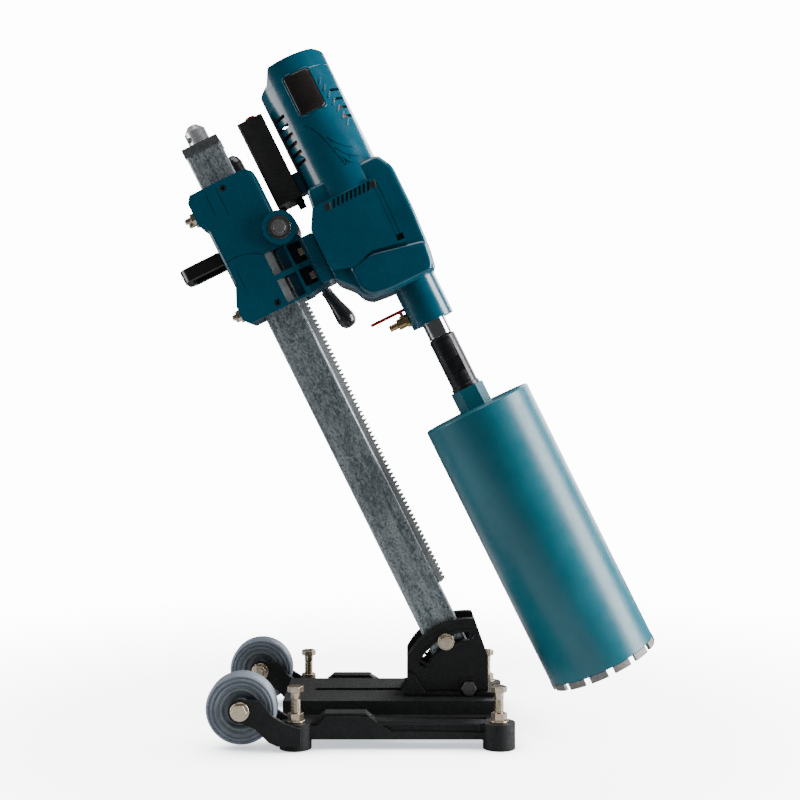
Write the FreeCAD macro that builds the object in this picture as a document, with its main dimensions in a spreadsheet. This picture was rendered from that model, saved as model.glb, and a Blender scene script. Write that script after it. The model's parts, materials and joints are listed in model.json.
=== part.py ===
# Core drill rig: a cast base on levelling bolts and wheels, a hinged square column with a rack, a carriage
# that is wound along the column, and a wet diamond drill motor with its water collar and core bit.
#
# Two frames are used. The floor frame has +X towards the bit, +Y across and +Z up, with its origin on the
# floor between the four feet. The column frame has its origin on the hinge pivot: x points forward from the
# column, y across, z up along the column. It is the floor frame leaned back by the column's tilt.
import FreeCAD, Part
import math
import os
import Sketcher

V = FreeCAD.Vector
ROOT3 = math.sqrt(3)
DOC = FreeCAD.newDocument("core_drill_rig")

# Driving dimensions in millimetres and degrees.
CELLS = {
    # base casting
    "foot_x": 129.1, "foot_y": 119.7, "foot_radius": 20.5, "foot_height": 33,
    "deck_top": 48, "deck_thickness": 12, "deck_half_width": 70, "deck_back": -150, "deck_front": 128,
    "skirt_wall": 8, "skirt_bottom": 13,
    "slot_start": -112.6, "slot_end": 9.4, "slot_width": 14,
    "side_slot_start": -9, "side_slot_end": 115, "side_slot_width": 12, "side_slot_y": 90,
    "web_bottom": 20, "web_top": 30,
    "rail_inner": 104, "rail_outer": 126, "rail_step": 3, "rail_bottom": 12, "rail_top": 35,
    "bump_top": 45, "bump_start": -92, "bump_end": -40,
    # wheels
    "axle_x": -197, "axle_z": 51.7, "wheel_y": 120.6, "wheel_radius": 45.1, "wheel_width": 32,
    "hub_radius": 30, "ear_gap": 1.5, "ear_wall": 7, "ear_radius": 15,
    # M12 fasteners
    "bolt_radius": 6, "bolt_flats": 18, "bolt_head": 7.5, "nut_height": 9, "washer_radius": 12,
    "washer_height": 2.5, "levelling_length": 70, "levelling_tip": 1,
    # hinge bracket and clamp
    "pivot_x": 95, "pivot_z": 58, "tilt": 26.4,
    "cheek_gap": 1, "cheek_wall": 11.5, "cheek_radius": 92, "cheek_back": -82, "cheek_front": 25.5,
    "cheek_inner": "=column_size / 2 + cheek_gap", "cheek_outer": "=cheek_inner + cheek_wall",
    "flange_height": 6, "flange_over": 8.5, "flange_back": -86, "flange_front": 33,
    "flange_half_width": "=cheek_outer + flange_over",
    "clamp_arm": 68.5, "arc_width": 11, "arc_start": -1, "arc_end": 62,
    "clamp_radius": 5, "clamp_flats": 16, "clamp_flange": 11, "clamp_flange_height": 3, "clamp_head": 8,
    "bracket_bolt_radius": 4, "bracket_bolt_back": -60, "bracket_bolt_front": 12,
    # column
    "column_size": 50, "column_wall": 4, "column_bottom": 26, "column_top": 802, "column_corner": 4,
    "eye_radius": 21, "cap_over": 1, "cap_height": 12, "plug_length": 22,
    "jack_radius": 15, "jack_body": 20.5, "jack_nose": 8.5, "jack_tip": 7, "jack_thread": 10,
    "jack_thread_length": 52, "jack_hole": 4,
    # rack and pinion
    "gear_module": 2, "pinion_teeth": 13, "rack_below": 83, "rack_above": 12, "rack_height": 11,
    "rack_half_width": 10, "rack_screw_radius": 2.5, "rack_screw_head": 4.5,
    "pinion_z": 660.6, "shaft_radius": 8, "bearing_radius": 15.5, "bearing_width": 11, "barrel_wall": 7.5,
    "barrel_half": 44, "handle_y": 121, "handle_reach": 139, "handle_bar": 6, "handle_angle": -10,
    "handle_hub": 16, "handle_hub_width": 26, "grip_start": 88, "grip_radius": 14, "grip_end": 152,
    # carriage
    "channel_gap": 3, "back_wall": 14, "front_wall": 20, "side_wall": 8,
    "sleeve_back": "=-column_size / 2 - channel_gap - back_wall",
    "sleeve_front": "=column_size / 2 + channel_gap + front_wall",
    "sleeve_half": "=column_size / 2 + channel_gap + side_wall",
    "sleeve_bottom": 564, "sleeve_top": 753, "pad_gap": 0.3, "arm_front": 66, "arm_half": 33, "arm_top": 640,
    "lower_boss": 10, "upper_boss": 7, "adjuster_low": 582, "adjuster_high": 726, "adjuster_y": 18,
    "adjuster_radius": 4, "adjuster_reach": 23, "adjuster_tip": "=sleeve_back - adjuster_reach",
    "adjuster_flats": 13, "adjuster_nut": 6.5,
    "pad_screw_head": 4.5, "pad_screw_radius": 2.5, "pad_screw_low": 573, "pad_screw_high": 742,
    "bow_reach": 59, "bow_back": "=sleeve_back - bow_reach", "bow_half": 32, "bow_bar": 9, "bow_low": 650.5,
    "bow_high": 669, "bow_corner": 14,
    "plate_depth": 16, "plate_half": 42, "plate_bottom": 568, "plate_top": 636,
    "mount_bolt_radius": 5, "mount_bolt_flats": 16, "mount_bolt_head": 7.5, "mount_bolt_y": 20,
    "mount_bolt_low": 586, "mount_bolt_high": 621.5, "mount_bolt_grip": 28,
    # drill body
    "spindle_x": 177, "motor_x": 152.5, "case_half": 50, "case_wall": 6, "case_bottom": 518,
    "case_top": 690, "motor_radius": 52, "motor_wall": 5, "motor_top": 832, "cap_top": 857,
    "vent_width": 4, "vent_count": 9, "brush_cover": 3, "plate_low": 646, "plate_high": 656,
    "collar_radius": 30, "collar_bottom": 460, "spigot_radius": 26,
    "spindle_radius": 16.5, "spindle_bottom": 437, "seal_radius": 20,
    "adapter_radius": 18.5, "adapter_bottom": 364, "adapter_flats": 32,
    # gear train
    "fast_module": 1, "fast_pinion": 10, "fast_wheel": 36, "slow_module": 1.5, "slow_pinion": 11,
    "slow_wheel": 37,
    # shafts, bearings and rotor
    "motor_bearing": 9, "spindle_bearing": 13, "lay_bearing": 8, "motor_shaft": 4, "lay_shaft": 5,
    "spindle_top": 7, "spindle_seat": 12, "armature_radius": 28, "commutator_radius": 14, "fan_blades": 9,
    # core bit
    "bit_radius": 76, "bit_wall": 4, "bit_top": 329, "bit_bottom": -51, "bit_plate": 8,
    "bit_hex": 41, "bit_hex_height": 30, "bit_thread": 15.8, "segment_height": 9, "segment_length": 24,
    "segment_half_count": 7, "segment_over": 0.5,
    # ball valve
    "valve_z": 476, "valve_radius": 7.5, "valve_end": 131, "barb_end": 118.6, "valve_stem_x": 141.5,
    "ball_radius": 6, "flow_radius": 3, "stem_radius": 2.5, "lever_z": 489.5, "lever_end": 103,
    "lever_half": 5.5, "lever_thick": 4,
    # control box
    "box_back": 56, "box_front": 92.5, "box_half": 28, "box_bottom": 688, "box_top": 811, "box_wall": 2.5,
    "button_x": 75.6, "button_radius": 7, "button_rise": 8, "button_collar": 10, "collar_rise": 4,
    # clearances: loose in a hole, running on a shaft, and flat faces that slide
    "loose_fit": 0.1, "running_fit": 0.05, "side_fit": 0.3,
}


class Size:
    """A length or angle that follows from cells: its value, and the formula that gives it."""

    def __init__(self, formula, value):
        self.formula = formula
        self.value = value

    def __float__(self):
        return self.value

    def __add__(self, other):
        other = as_size(other)
        return Size(f"({self.formula} + {other.formula})", self.value + other.value)

    def __sub__(self, other):
        other = as_size(other)
        return Size(f"({self.formula} - {other.formula})", self.value - other.value)

    def __mul__(self, other):
        other = as_size(other)
        return Size(f"({self.formula} * {other.formula})", self.value * other.value)

    def __truediv__(self, other):
        other = as_size(other)
        return Size(f"({self.formula} / {other.formula})", self.value / other.value)

    def __neg__(self):
        return self * -1

    def __radd__(self, other):
        return as_size(other) + self

    def __rsub__(self, other):
        return as_size(other) - self

    def __rmul__(self, other):
        return as_size(other) * self


def as_size(number):
    """Give a plain number the same form as a size."""
    if isinstance(number, Size):
        return number
    return Size(f"({float(number):.9f})", float(number))


class Dimensions:
    """The sheet's cells by name."""


def make_sheet():
    """Write the driving dimensions into the spreadsheet and return them as sizes."""
    sheet = DOC.addObject("Spreadsheet::Sheet", "Dims")
    named = Dimensions()
    for row, (alias, number) in enumerate(CELLS.items(), start=1):
        sheet.set(f"A{row}", alias)
        sheet.set(f"B{row}", str(number))
        sheet.setAlias(f"B{row}", alias)
    DOC.recompute()
    for alias in CELLS:
        setattr(named, alias, Size(f"Dims.{alias}", float(sheet.get(alias))))
    return named


D = make_sheet()

FLOOR = FreeCAD.Placement()
LEAN = FreeCAD.Rotation(V(0, 1, 0), -float(D.tilt))
COLUMN = FreeCAD.Placement(V(float(D.pivot_x), 0, float(D.pivot_z)), LEAN)
TURN = {
    "x": FreeCAD.Rotation(V(0, 1, 0), 90),
    "y": FreeCAD.Rotation(V(1, 0, 0), -90),
    "z": FreeCAD.Rotation(),
}
PIECES = {}
SIDES = (-1, 1)

# Sizes that several pieces share.
COLUMN_HALF = D.column_size / 2
RACK_TIP = COLUMN_HALF + D.rack_height
RACK_ROOT = RACK_TIP - D.gear_module * 2.25
PINION_PITCH = D.gear_module * D.pinion_teeth / 2
PINION_X = RACK_TIP - D.gear_module + PINION_PITCH
CHANNEL = COLUMN_HALF + D.channel_gap
PLATE_BACK = D.arm_front
PLATE_FRONT = D.arm_front + D.plate_depth
EAR_INNER = D.wheel_width / 2 + D.ear_gap
EAR_OUTER = EAR_INNER + D.ear_wall
LAY_TO_MOTOR = D.fast_module * (D.fast_pinion + D.fast_wheel) / 2
LAY_TO_SPINDLE = D.slow_module * (D.slow_pinion + D.slow_wheel) / 2
SHAFT_SPACING = D.spindle_x - D.motor_x


# ---------------------------------------------------------------- building blocks

def tie(item, name, size):
    """Tie one property of an object to a formula on the sheet."""
    item.setExpression(name, as_size(size).formula)


def new(kind, **sizes):
    """Add a primitive whose sizes follow the sheet."""
    item = DOC.addObject(kind, kind.split("::")[1])
    for name, size in sizes.items():
        tie(item, name, size)
    return item


def lay(item, axis, at, low):
    """Point an object's own z along an axis and put its foot at low, with at as its other two places."""
    item.Placement = FreeCAD.Placement(V(), TURN[axis])
    spots = {"x": (low, at[0], at[1]), "y": (at[0], low, at[1]), "z": (at[0], at[1], low)}[axis]
    for name, spot in zip("xyz", spots):
        tie(item, f"Placement.Base.{name}", spot)
    return item


def rod(axis, at, span, radius):
    return lay(new("Part::Cylinder", Radius=radius, Height=span[1] - span[0]), axis, at, span[0])


def cone(axis, at, span, low_radius, high_radius):
    sizes = {"Radius1": low_radius, "Radius2": high_radius, "Height": span[1] - span[0]}
    return lay(new("Part::Cone", **sizes), axis, at, span[0])


def hexagon(axis, at, span, flats):
    prism = new("Part::Prism", Circumradius=flats / ROOT3, Height=span[1] - span[0])
    prism.Polygon = 6
    return lay(prism, axis, at, span[0])


def block(x, y, z):
    box = new("Part::Box", Length=x[1] - x[0], Width=y[1] - y[0], Height=z[1] - z[0])
    return lay(box, "z", (x[0], y[0]), z[0])


def fuse(*shapes):
    joined = DOC.addObject("Part::MultiFuse", "Joined")
    joined.Shapes = list(shapes)
    return joined


def group(*shapes):
    """Keep solids apart in one object."""
    bundle = DOC.addObject("Part::Compound", "Group")
    bundle.Links = list(shapes)
    return bundle


def cut(base, *tools):
    """Take every tool from the base. Tools may overlap each other."""
    result = DOC.addObject("Part::Cut", "Cut")
    result.Base = base
    result.Tool = fuse(*tools) if len(tools) > 1 else tools[0]
    return result


def common(first, second):
    shared = DOC.addObject("Part::Common", "Common")
    shared.Base = first
    shared.Tool = second
    return shared


def tube(axis, at, span, outer, inner):
    return cut(rod(axis, at, span, outer), rod(axis, at, (span[0] - 1, span[1] + 1), inner))


def side(sign, inner, outer):
    """The span from inner to outer on one side of the centre plane."""
    return (inner * 1, outer * 1) if sign > 0 else (-outer, -inner)


def rectangle(x, y):
    return [(x[0], y[0]), (x[1], y[0]), (x[1], y[1]), (x[0], y[1])]


def origin_plane(body, role):
    return [item for item in body.Origin.OriginFeatures if item.Role == f"{role}_Plane"][0]


def hold(sketch, geometry, point, name, size):
    """Fix one coordinate of a sketch point, by a formula or on the axis."""
    if not isinstance(size, Size) and size == 0:
        axis = -2 if name == "DistanceX" else -1
        sketch.addConstraint(Sketcher.Constraint("PointOnObject", geometry, point, axis))
        return
    size = as_size(size)
    index = sketch.addConstraint(Sketcher.Constraint(name, -1, 1, geometry, point, size.value))
    sketch.setExpression(f"Constraints[{index}]", size.formula)


def draw(body, role, level, shape):
    """A closed sketch on one of the body's origin planes: a list of corners, or a centre and a radius."""
    sketch = body.newObject("Sketcher::SketchObject", "Outline")
    sketch.AttachmentSupport = (origin_plane(body, role), [""])
    sketch.MapMode = "FlatFace"
    tie(sketch, "AttachmentOffset.Base.z", -level if role == "XZ" else level)
    if isinstance(shape, tuple):
        centre, radius = shape
        spot = V(float(centre[0]), float(centre[1]), 0)
        sketch.addGeometry(Part.Circle(spot, V(0, 0, 1), float(radius)))
        index = sketch.addConstraint(Sketcher.Constraint("Radius", 0, float(radius)))
        sketch.setExpression(f"Constraints[{index}]", as_size(radius).formula)
        hold(sketch, 0, 3, "DistanceX", centre[0])
        hold(sketch, 0, 3, "DistanceY", centre[1])
        return sketch
    corners = [V(float(x), float(y), 0) for x, y in shape]
    count = len(corners)
    for index in range(count):
        sketch.addGeometry(Part.LineSegment(corners[index], corners[(index + 1) % count]))
    for index in range(count):
        sketch.addConstraint(Sketcher.Constraint("Coincident", index, 2, (index + 1) % count, 1))
    for index, (x, y) in enumerate(shape):
        hold(sketch, index, 1, "DistanceX", x)
        hold(sketch, index, 1, "DistanceY", y)
    return sketch


def form(body, kind, role, span, shape):
    """Pad or pocket a shape over a span, measured along the plane's own axis."""
    low, high = as_size(span[0]), as_size(span[1])
    sketch = draw(body, role, (low + high) / 2, shape)
    feature = body.newObject(f"PartDesign::{kind}", kind)
    feature.Profile = sketch
    feature.SideType = "Symmetric"
    tie(feature, "Length", high - low)
    return feature


def new_body(name="Body"):
    return DOC.addObject("PartDesign::Body", name)


def pad(body, role, span, shape):
    return form(body, "Pad", role, span, shape)


def pocket(body, role, span, shape):
    """Cut a shape out over a span, and make sure that it took something away."""
    DOC.recompute()
    before = body.Shape.Volume
    feature = form(body, "Pocket", role, span, shape)
    DOC.recompute()
    if not body.Shape.Volume < before:
        raise RuntimeError(f"a pocket in {body.Name} cut nothing")
    return feature


def turned(profile, spot=None, axis="z", flip=False):
    """A body turned about its own z from corners of radius and height, then laid along an axis."""
    body = new_body()
    sketch = draw(body, "XZ", 0, profile)
    feature = body.newObject("PartDesign::Revolution", "Revolution")
    feature.Profile = sketch
    feature.ReferenceAxis = (sketch, ["V_Axis"])
    feature.Angle = 360
    turn = TURN[axis]
    if flip:
        turn = turn.multiply(FreeCAD.Rotation(V(1, 0, 0), 180))
    body.Placement = FreeCAD.Placement(V(*[float(number) for number in spot or (0, 0, 0)]), turn)
    return body


def soften(body, radius, wanted):
    """Round the edges that are wanted, named by a test of the edge."""
    DOC.recompute()
    solid = body.Tip
    names = [f"Edge{n}" for n, edge in enumerate(solid.Shape.Edges, start=1) if wanted(edge)]
    if not names:
        raise RuntimeError(f"no edge of {body.Name} to round")
    feature = body.newObject("PartDesign::Fillet", "Fillet")
    feature.Base = (solid, names)
    tie(feature, "Radius", radius)
    DOC.recompute()
    return feature


def along(edge, axis):
    """Whether a straight edge runs along an axis."""
    if not isinstance(edge.Curve, Part.Line):
        return False
    return abs(edge.tangentAt(edge.FirstParameter).dot(V(*axis))) > 0.999


def corner(*corners):
    """A test for edges along y that pass through one of the given corners in x and z."""
    spots = [(float(x), float(z)) for x, z in corners]

    def test(edge):
        middle = edge.CenterOfMass
        return along(edge, (0, 1, 0)) and any(
            math.hypot(middle.x - x, middle.z - z) < 0.01 for x, z in spots
        )

    return test


def piece(name, shape, frame=FLOOR):
    """Name a finished piece and put it in its frame."""
    shape.Label = name
    shape.Placement = frame
    PIECES[name] = shape


def on_column(x=0, y=0, z=0, turn=None):
    """A frame at a place in the column frame."""
    spot = V(float(x), float(y), float(z))
    return COLUMN.multiply(FreeCAD.Placement(spot, turn or FreeCAD.Rotation()))


def gear_shape(teeth, module, width, addendum, phase):
    """A spur gear about its own z: involute flanks down to the base circle, then straight to the root."""
    teeth, module, width = int(float(teeth)), float(module), float(width)
    pitch = module * teeth / 2
    base = pitch * math.cos(math.radians(20))
    root, tip = pitch - 1.25 * module, pitch + addendum * module
    backlash = 0.14 * module
    half_pitch = (math.pi * module / 2 - backlash) / 2 / pitch
    start = max(base, root)
    radii = [start + (tip - start) * step / 4 for step in range(5)]

    def involute(radius):
        angle = math.acos(min(1.0, base / radius))
        return math.tan(angle) - angle

    halves = [half_pitch + involute(pitch) - involute(radius) for radius in radii]
    flank = [(root, halves[0])] + list(zip(radii, halves)) if root < base else list(zip(radii, halves))
    corners = []
    for tooth in range(teeth):
        middle = math.radians(phase) + 2 * math.pi * tooth / teeth
        rising = [(radius, middle - half) for radius, half in flank]
        falling = [(radius, middle + half) for radius, half in reversed(flank)]
        corners += [V(r * math.cos(a), r * math.sin(a), 0) for r, a in rising + falling]
    wire = Part.makePolygon(corners + corners[:1])
    return Part.Face(wire).extrude(V(0, 0, width))


def shape_object(shape, label="Shape"):
    """A document object for a shape that no primitive makes."""
    item = DOC.addObject("Part::Feature", label)
    item.Shape = shape
    return item


# ---------------------------------------------------------------- base

def make_base_casting():
    """Deck on skirts, two side rails, four feet and a fork of two ears for each wheel."""
    body = new_body("BaseCasting")
    deck = rectangle((D.deck_back, D.deck_front), (-D.deck_half_width, D.deck_half_width))
    pad(body, "XY", (D.deck_top - D.deck_thickness, D.deck_top), deck)
    skirt = (D.skirt_bottom, D.deck_top - 1)
    for sign in SIDES:
        across = side(sign, D.deck_half_width - D.skirt_wall, D.deck_half_width)
        pad(body, "XZ", across, rectangle((D.deck_back, D.deck_front), skirt))
    inside = (1 - D.deck_half_width, D.deck_half_width - 1)
    pad(body, "XY", skirt, rectangle((D.deck_back, D.deck_back + D.skirt_wall), inside))
    pad(body, "XY", skirt, rectangle((D.deck_front - D.skirt_wall, D.deck_front), inside))
    for sign in SIDES:
        web = side(sign, D.deck_half_width - 1, D.rail_inner + 2)
        end = D.foot_x + 10
        pad(body, "XY", (D.web_bottom, D.web_top), rectangle((-end, end), web))
        for x in (-D.foot_x, D.foot_x):
            pad(body, "XY", (0, D.foot_height), ((x, sign * D.foot_y), D.foot_radius))
        rail = [
            (-D.foot_x, D.rail_bottom - 6), (12 - D.foot_x, D.rail_bottom),
            (D.foot_x - 24, D.rail_bottom), (D.foot_x, D.rail_bottom - 6),
            (D.foot_x, D.foot_height - 1), (D.bump_end + 12, D.rail_top), (D.bump_end, D.bump_top),
            (D.bump_start, D.bump_top), (D.bump_start - 12, D.rail_top), (15 - D.foot_x, D.foot_height - 1),
            (-D.foot_x, D.foot_height - 1),
        ]
        pad(body, "XZ", side(sign, D.rail_inner, D.rail_outer), rail)
        step = [
            (-D.foot_x, D.rail_bottom - 5), (12 - D.foot_x, D.rail_bottom + 1),
            (D.foot_x - 24, D.rail_bottom + 1), (D.foot_x, D.rail_bottom - 5),
            (D.foot_x, 21), (-8, 23), (D.bump_end + 6, D.bump_top - 5), (D.bump_start + 2, D.bump_top - 3),
            (D.bump_start - 10, D.rail_top - 5), (-D.foot_x, 28),
        ]
        pad(body, "XZ", side(sign, D.rail_outer - 1, D.rail_outer + D.rail_step), step)
        ear = [
            (D.axle_x, D.axle_z + 14), (-171, 64), (-157, 46), (-141, 36), (-D.foot_x, 32),
            (8 - D.foot_x, 30), (8 - D.foot_x, 8), (-150, 8), (-161, 13), (-178, 30),
            (D.axle_x, D.axle_z - 14),
        ]
        for inner, outer in ((-EAR_OUTER, -EAR_INNER), (EAR_INNER, EAR_OUTER)):
            across = (sign * D.wheel_y + inner, sign * D.wheel_y + outer)
            pad(body, "XZ", across, ear)
            pad(body, "XZ", across, ((D.axle_x, D.axle_z), D.ear_radius))
    centre = rectangle((D.slot_start, D.slot_end), (-D.slot_width / 2, D.slot_width / 2))
    through = (D.deck_top - D.deck_thickness - 1, D.deck_top + 1)
    pocket(body, "XY", through, centre)
    window = rectangle((D.pivot_x - 36, D.pivot_x + 24), (-(D.cheek_inner + 1), D.cheek_inner + 1))
    pocket(body, "XY", through, window)
    for sign in SIDES:
        middle = sign * D.side_slot_y
        across = (middle - D.side_slot_width / 2, middle + D.side_slot_width / 2)
        slot = rectangle((D.side_slot_start, D.side_slot_end), across)
        pocket(body, "XY", (D.web_bottom - 1, D.web_top + 1), slot)
        pocket(body, "XZ", side(sign, 80, 160), ((D.axle_x, D.axle_z), D.bolt_radius + D.loose_fit))
        for x in (-D.foot_x, D.foot_x):
            pocket(body, "XY", (-1, D.foot_height + 1), ((x, sign * D.foot_y), D.bolt_radius))
        for x in (D.bracket_bolt_back, D.bracket_bolt_front):
            spot = (D.pivot_x + x, sign * BRACKET_BOLT_Y)
            pocket(body, "XY", through, (spot, D.bracket_bolt_radius + D.loose_fit))
    soften(body, 5, lambda edge: along(edge, (0, 0, 1)) and on_deck_corner(edge))
    piece("base_casting", body)


BRACKET_BOLT_Y = (D.cheek_inner + D.cheek_outer) / 2


def on_deck_corner(edge):
    """The deck's four outer corners and the ends of its long slot."""
    middle = edge.CenterOfMass
    ends = abs(middle.x - float(D.slot_start)) < 0.1 or abs(middle.x - float(D.slot_end)) < 0.1
    return ends and abs(abs(middle.y) - float(D.slot_width) / 2) < 0.1


def hex_bolt(axis, at, seat, end, radius, flats, head, sign=1):
    """A bolt with its head's face at seat and its end at end; sign points from the end to the head."""
    if sign > 0:
        return fuse(rod(axis, at, (end, seat + 1), radius), hexagon(axis, at, (seat, seat + head), flats))
    return fuse(rod(axis, at, (seat - 1, end), radius), hexagon(axis, at, (seat - head, seat), flats))


def nut(axis, at, span, flats, bore):
    return cut(hexagon(axis, at, span, flats), rod(axis, at, (span[0] - 1, span[1] + 1), bore))


def make_feet_and_axles():
    """Levelling bolts, axle bolts, and the identical M12 nuts and washers on them and on the pivot."""
    names = {(-1, -1): "rear_near", (1, -1): "front_near", (-1, 1): "rear_far", (1, 1): "front_far"}
    nuts, washers, axles = [], [], []
    running = D.bolt_radius - D.running_fit
    nut_seat = D.foot_height + D.washer_height
    for (way, sign), name in names.items():
        at = (way * D.foot_x, sign * D.foot_y)
        seat = D.levelling_tip + D.levelling_length
        bolt = hex_bolt("z", at, seat, D.levelling_tip, running, D.bolt_flats, D.bolt_head)
        piece(f"levelling_bolt_{name}", group(bolt))
        nuts.append(nut("z", at, (nut_seat, nut_seat + D.nut_height), D.bolt_flats, D.bolt_radius))
        washers.append(tube("z", at, (D.foot_height, nut_seat), D.washer_radius, D.bolt_radius))
    at = (D.axle_x, D.axle_z)
    for sign in SIDES:
        outer = sign * (D.wheel_y + EAR_OUTER)
        inner = sign * (D.wheel_y - EAR_OUTER)
        seat = outer + sign * D.washer_height
        nut_face = inner - sign * D.washer_height
        end = nut_face - sign * (D.nut_height + 3)
        axles.append(
            hex_bolt("y", at, seat, end, D.bolt_radius - D.running_fit, D.bolt_flats, D.bolt_head, sign)
        )
        for low, high in (sorted((outer, seat), key=float), sorted((nut_face, inner), key=float)):
            washers.append(tube("y", at, (low, high), D.washer_radius, D.bolt_radius))
        span = sorted((nut_face, nut_face - sign * D.nut_height), key=float)
        nuts.append(nut("y", at, span, D.bolt_flats, D.bolt_radius))
    pivot = (D.pivot_x, D.pivot_z)
    face = D.cheek_outer + 2
    nuts.append(nut("y", pivot, (face, face + D.nut_height), D.bolt_flats, D.bolt_radius))
    piece("m12_nuts", group(*nuts))
    piece("m12_washers", group(*washers))
    piece("axle_bolts", group(*axles))
    end = face + D.nut_height + 3
    running = D.bolt_radius - D.running_fit
    bolt = hex_bolt("y", pivot, -face, end, running, D.bolt_flats, D.bolt_head, -1)
    piece("pivot_bolt", group(bolt))


def make_wheels():
    """A moulded hub with stepped rings and a rubber tyre on each side."""
    half = D.wheel_width / 2
    bore = D.bolt_radius
    rim, outer = D.hub_radius, D.wheel_radius
    steps = [(14, half - 0.5), (16, half - 8), (22, half - 9), (24, half - 2)]
    upper = [(radius, height) for radius, height in reversed(steps)]
    hub = [(bore, -(half - 0.5))] + [(radius, -height) for radius, height in steps]
    hub += [(rim, -(half - 2)), (rim, half - 2)] + upper + [(bore, half - 0.5)]
    edge = [
        (rim, half - 2), (rim + 1.5, half - 1), (rim + 8, half), (outer - 3, half - 0.8), (outer, half - 6),
    ]
    tyre = [(radius, -height) for radius, height in edge]
    tyre += [(radius, height) for radius, height in reversed(edge)]
    for sign, name in ((-1, "near"), (1, "far")):
        spot = (float(D.axle_x), sign * float(D.wheel_y), float(D.axle_z))
        frame = FreeCAD.Placement(V(*spot), TURN["y"])
        piece(f"wheel_hub_{name}", turned(hub), frame)
        piece(f"tyre_{name}", turned(tyre), frame)


def arc_slot(sign):
    """A slot of constant width about the pivot, through one cheek."""
    outer = D.clamp_arm + D.arc_width / 2
    inner = D.clamp_arm - D.arc_width / 2
    low, high = side(sign, D.cheek_inner - 1, D.cheek_outer + 5)
    sweep = D.arc_end - D.arc_start
    sector = new("Part::Cylinder", Radius=outer, Height=high - low, Angle=sweep)
    first = float(D.arc_end) + 90
    turn = TURN["y"].multiply(FreeCAD.Rotation(V(0, 0, 1), -first))
    sector.Placement = FreeCAD.Placement(V(0, 0, 0), turn)
    tie(sector, "Placement.Base.x", D.pivot_x)
    tie(sector, "Placement.Base.y", low)
    tie(sector, "Placement.Base.z", D.pivot_z)
    ring = cut(sector, rod("y", (D.pivot_x, D.pivot_z), (low - 1, high + 1), inner))
    ends = []
    for angle in (float(D.arc_start), float(D.arc_end)):
        x = D.pivot_x - D.clamp_arm * math.sin(math.radians(angle))
        z = D.pivot_z + D.clamp_arm * math.cos(math.radians(angle))
        ends.append(rod("y", (x, z), (low, high), D.arc_width / 2))
    return fuse(ring, *ends)


def make_hinge_bracket():
    """Two cheeks with arc slots on a flange, joined behind and in front of the column's foot."""
    x, z = D.pivot_x, D.pivot_z
    body = new_body("HingeCheeks")
    back, front = x + D.cheek_back, x + D.cheek_front
    outline = [
        (back, D.deck_top), (front, D.deck_top), (front, z + 42), (front - 18, z + D.cheek_radius),
        (back, z + D.cheek_radius),
    ]
    pad(body, "XZ", (-D.cheek_outer, D.cheek_outer), outline)
    pocket(body, "XY", (D.deck_top - 1, z + D.cheek_radius + 1),
           rectangle((back - 1, front + 1), (-D.cheek_inner, D.cheek_inner)))
    cheeks = common(body, rod("y", (x, z), (-D.cheek_outer - 1, D.cheek_outer + 1), D.cheek_radius))
    flange_top = D.deck_top + D.flange_height
    wide = (-D.flange_half_width, D.flange_half_width)
    flange = cut(
        block((x + D.flange_back, x + D.flange_front), wide, (D.deck_top, flange_top)),
        block((x - 42, x + 27), (-D.cheek_inner, D.cheek_inner), (D.deck_top - 1, flange_top + 1)),
    )
    bosses, gussets = [], []
    for sign in SIDES:
        across = side(sign, D.cheek_outer - 1, D.cheek_outer + 2)
        bosses.append(block((x - 11, x + 11), across, (z - 8, z + 13)))
        gusset = new_body("Gusset")
        corners = [(back, flange_top - 1), (back + 24, flange_top - 1), (back + 9, z + 18), (back, z + 22)]
        pad(gusset, "XZ", side(sign, D.cheek_outer - 1, D.flange_half_width - 1), corners)
        gussets.append(gusset)
    whole = fuse(cheeks, flange, *bosses, *gussets)
    holes = [rod("y", (x, z), (-60, 60), D.bolt_radius)]
    holes += [rod("y", (x, z), side(sign, D.cheek_outer + 2, 60), HEAD_ROOM) for sign in SIDES]
    holes += [arc_slot(sign) for sign in SIDES]
    for sign in SIDES:
        for spot in (D.bracket_bolt_back, D.bracket_bolt_front):
            at = (x + spot, sign * BRACKET_BOLT_Y)
            bore = D.bracket_bolt_radius + D.loose_fit
            holes.append(rod("z", at, (D.deck_top - 1, BRACKET_BOLT_TOP), bore))
    piece("hinge_bracket", cut(whole, *holes))


BRACKET_BOLT_TOP = D.deck_top + 15
HEAD_ROOM = D.bolt_flats / ROOT3 + 1.5


def make_bracket_bolts():
    """Socket screws from under the deck up into the cheeks."""
    bolts = []
    under = D.deck_top - D.deck_thickness
    for sign in SIDES:
        for spot in (D.bracket_bolt_back, D.bracket_bolt_front):
            at = (D.pivot_x + spot, sign * BRACKET_BOLT_Y)
            shank = rod("z", at, (under - 1, BRACKET_BOLT_TOP), D.bracket_bolt_radius)
            head = rod("z", at, (under - 8, under), D.bracket_bolt_radius * 1.6)
            socket = hexagon("z", at, (under - 9, under - 4), 6)
            bolts.append(cut(fuse(shank, head), socket))
    piece("bracket_bolts", group(*bolts))


# ---------------------------------------------------------------- column

def rack_screw_places():
    """Heights of the rack's screws, each at the middle of a tooth space."""
    pitch = D.gear_module * math.pi
    return [D.pinion_z + pitch * step for step in (-80, -64, -48, -32, -16, 0, 8)]


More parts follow.
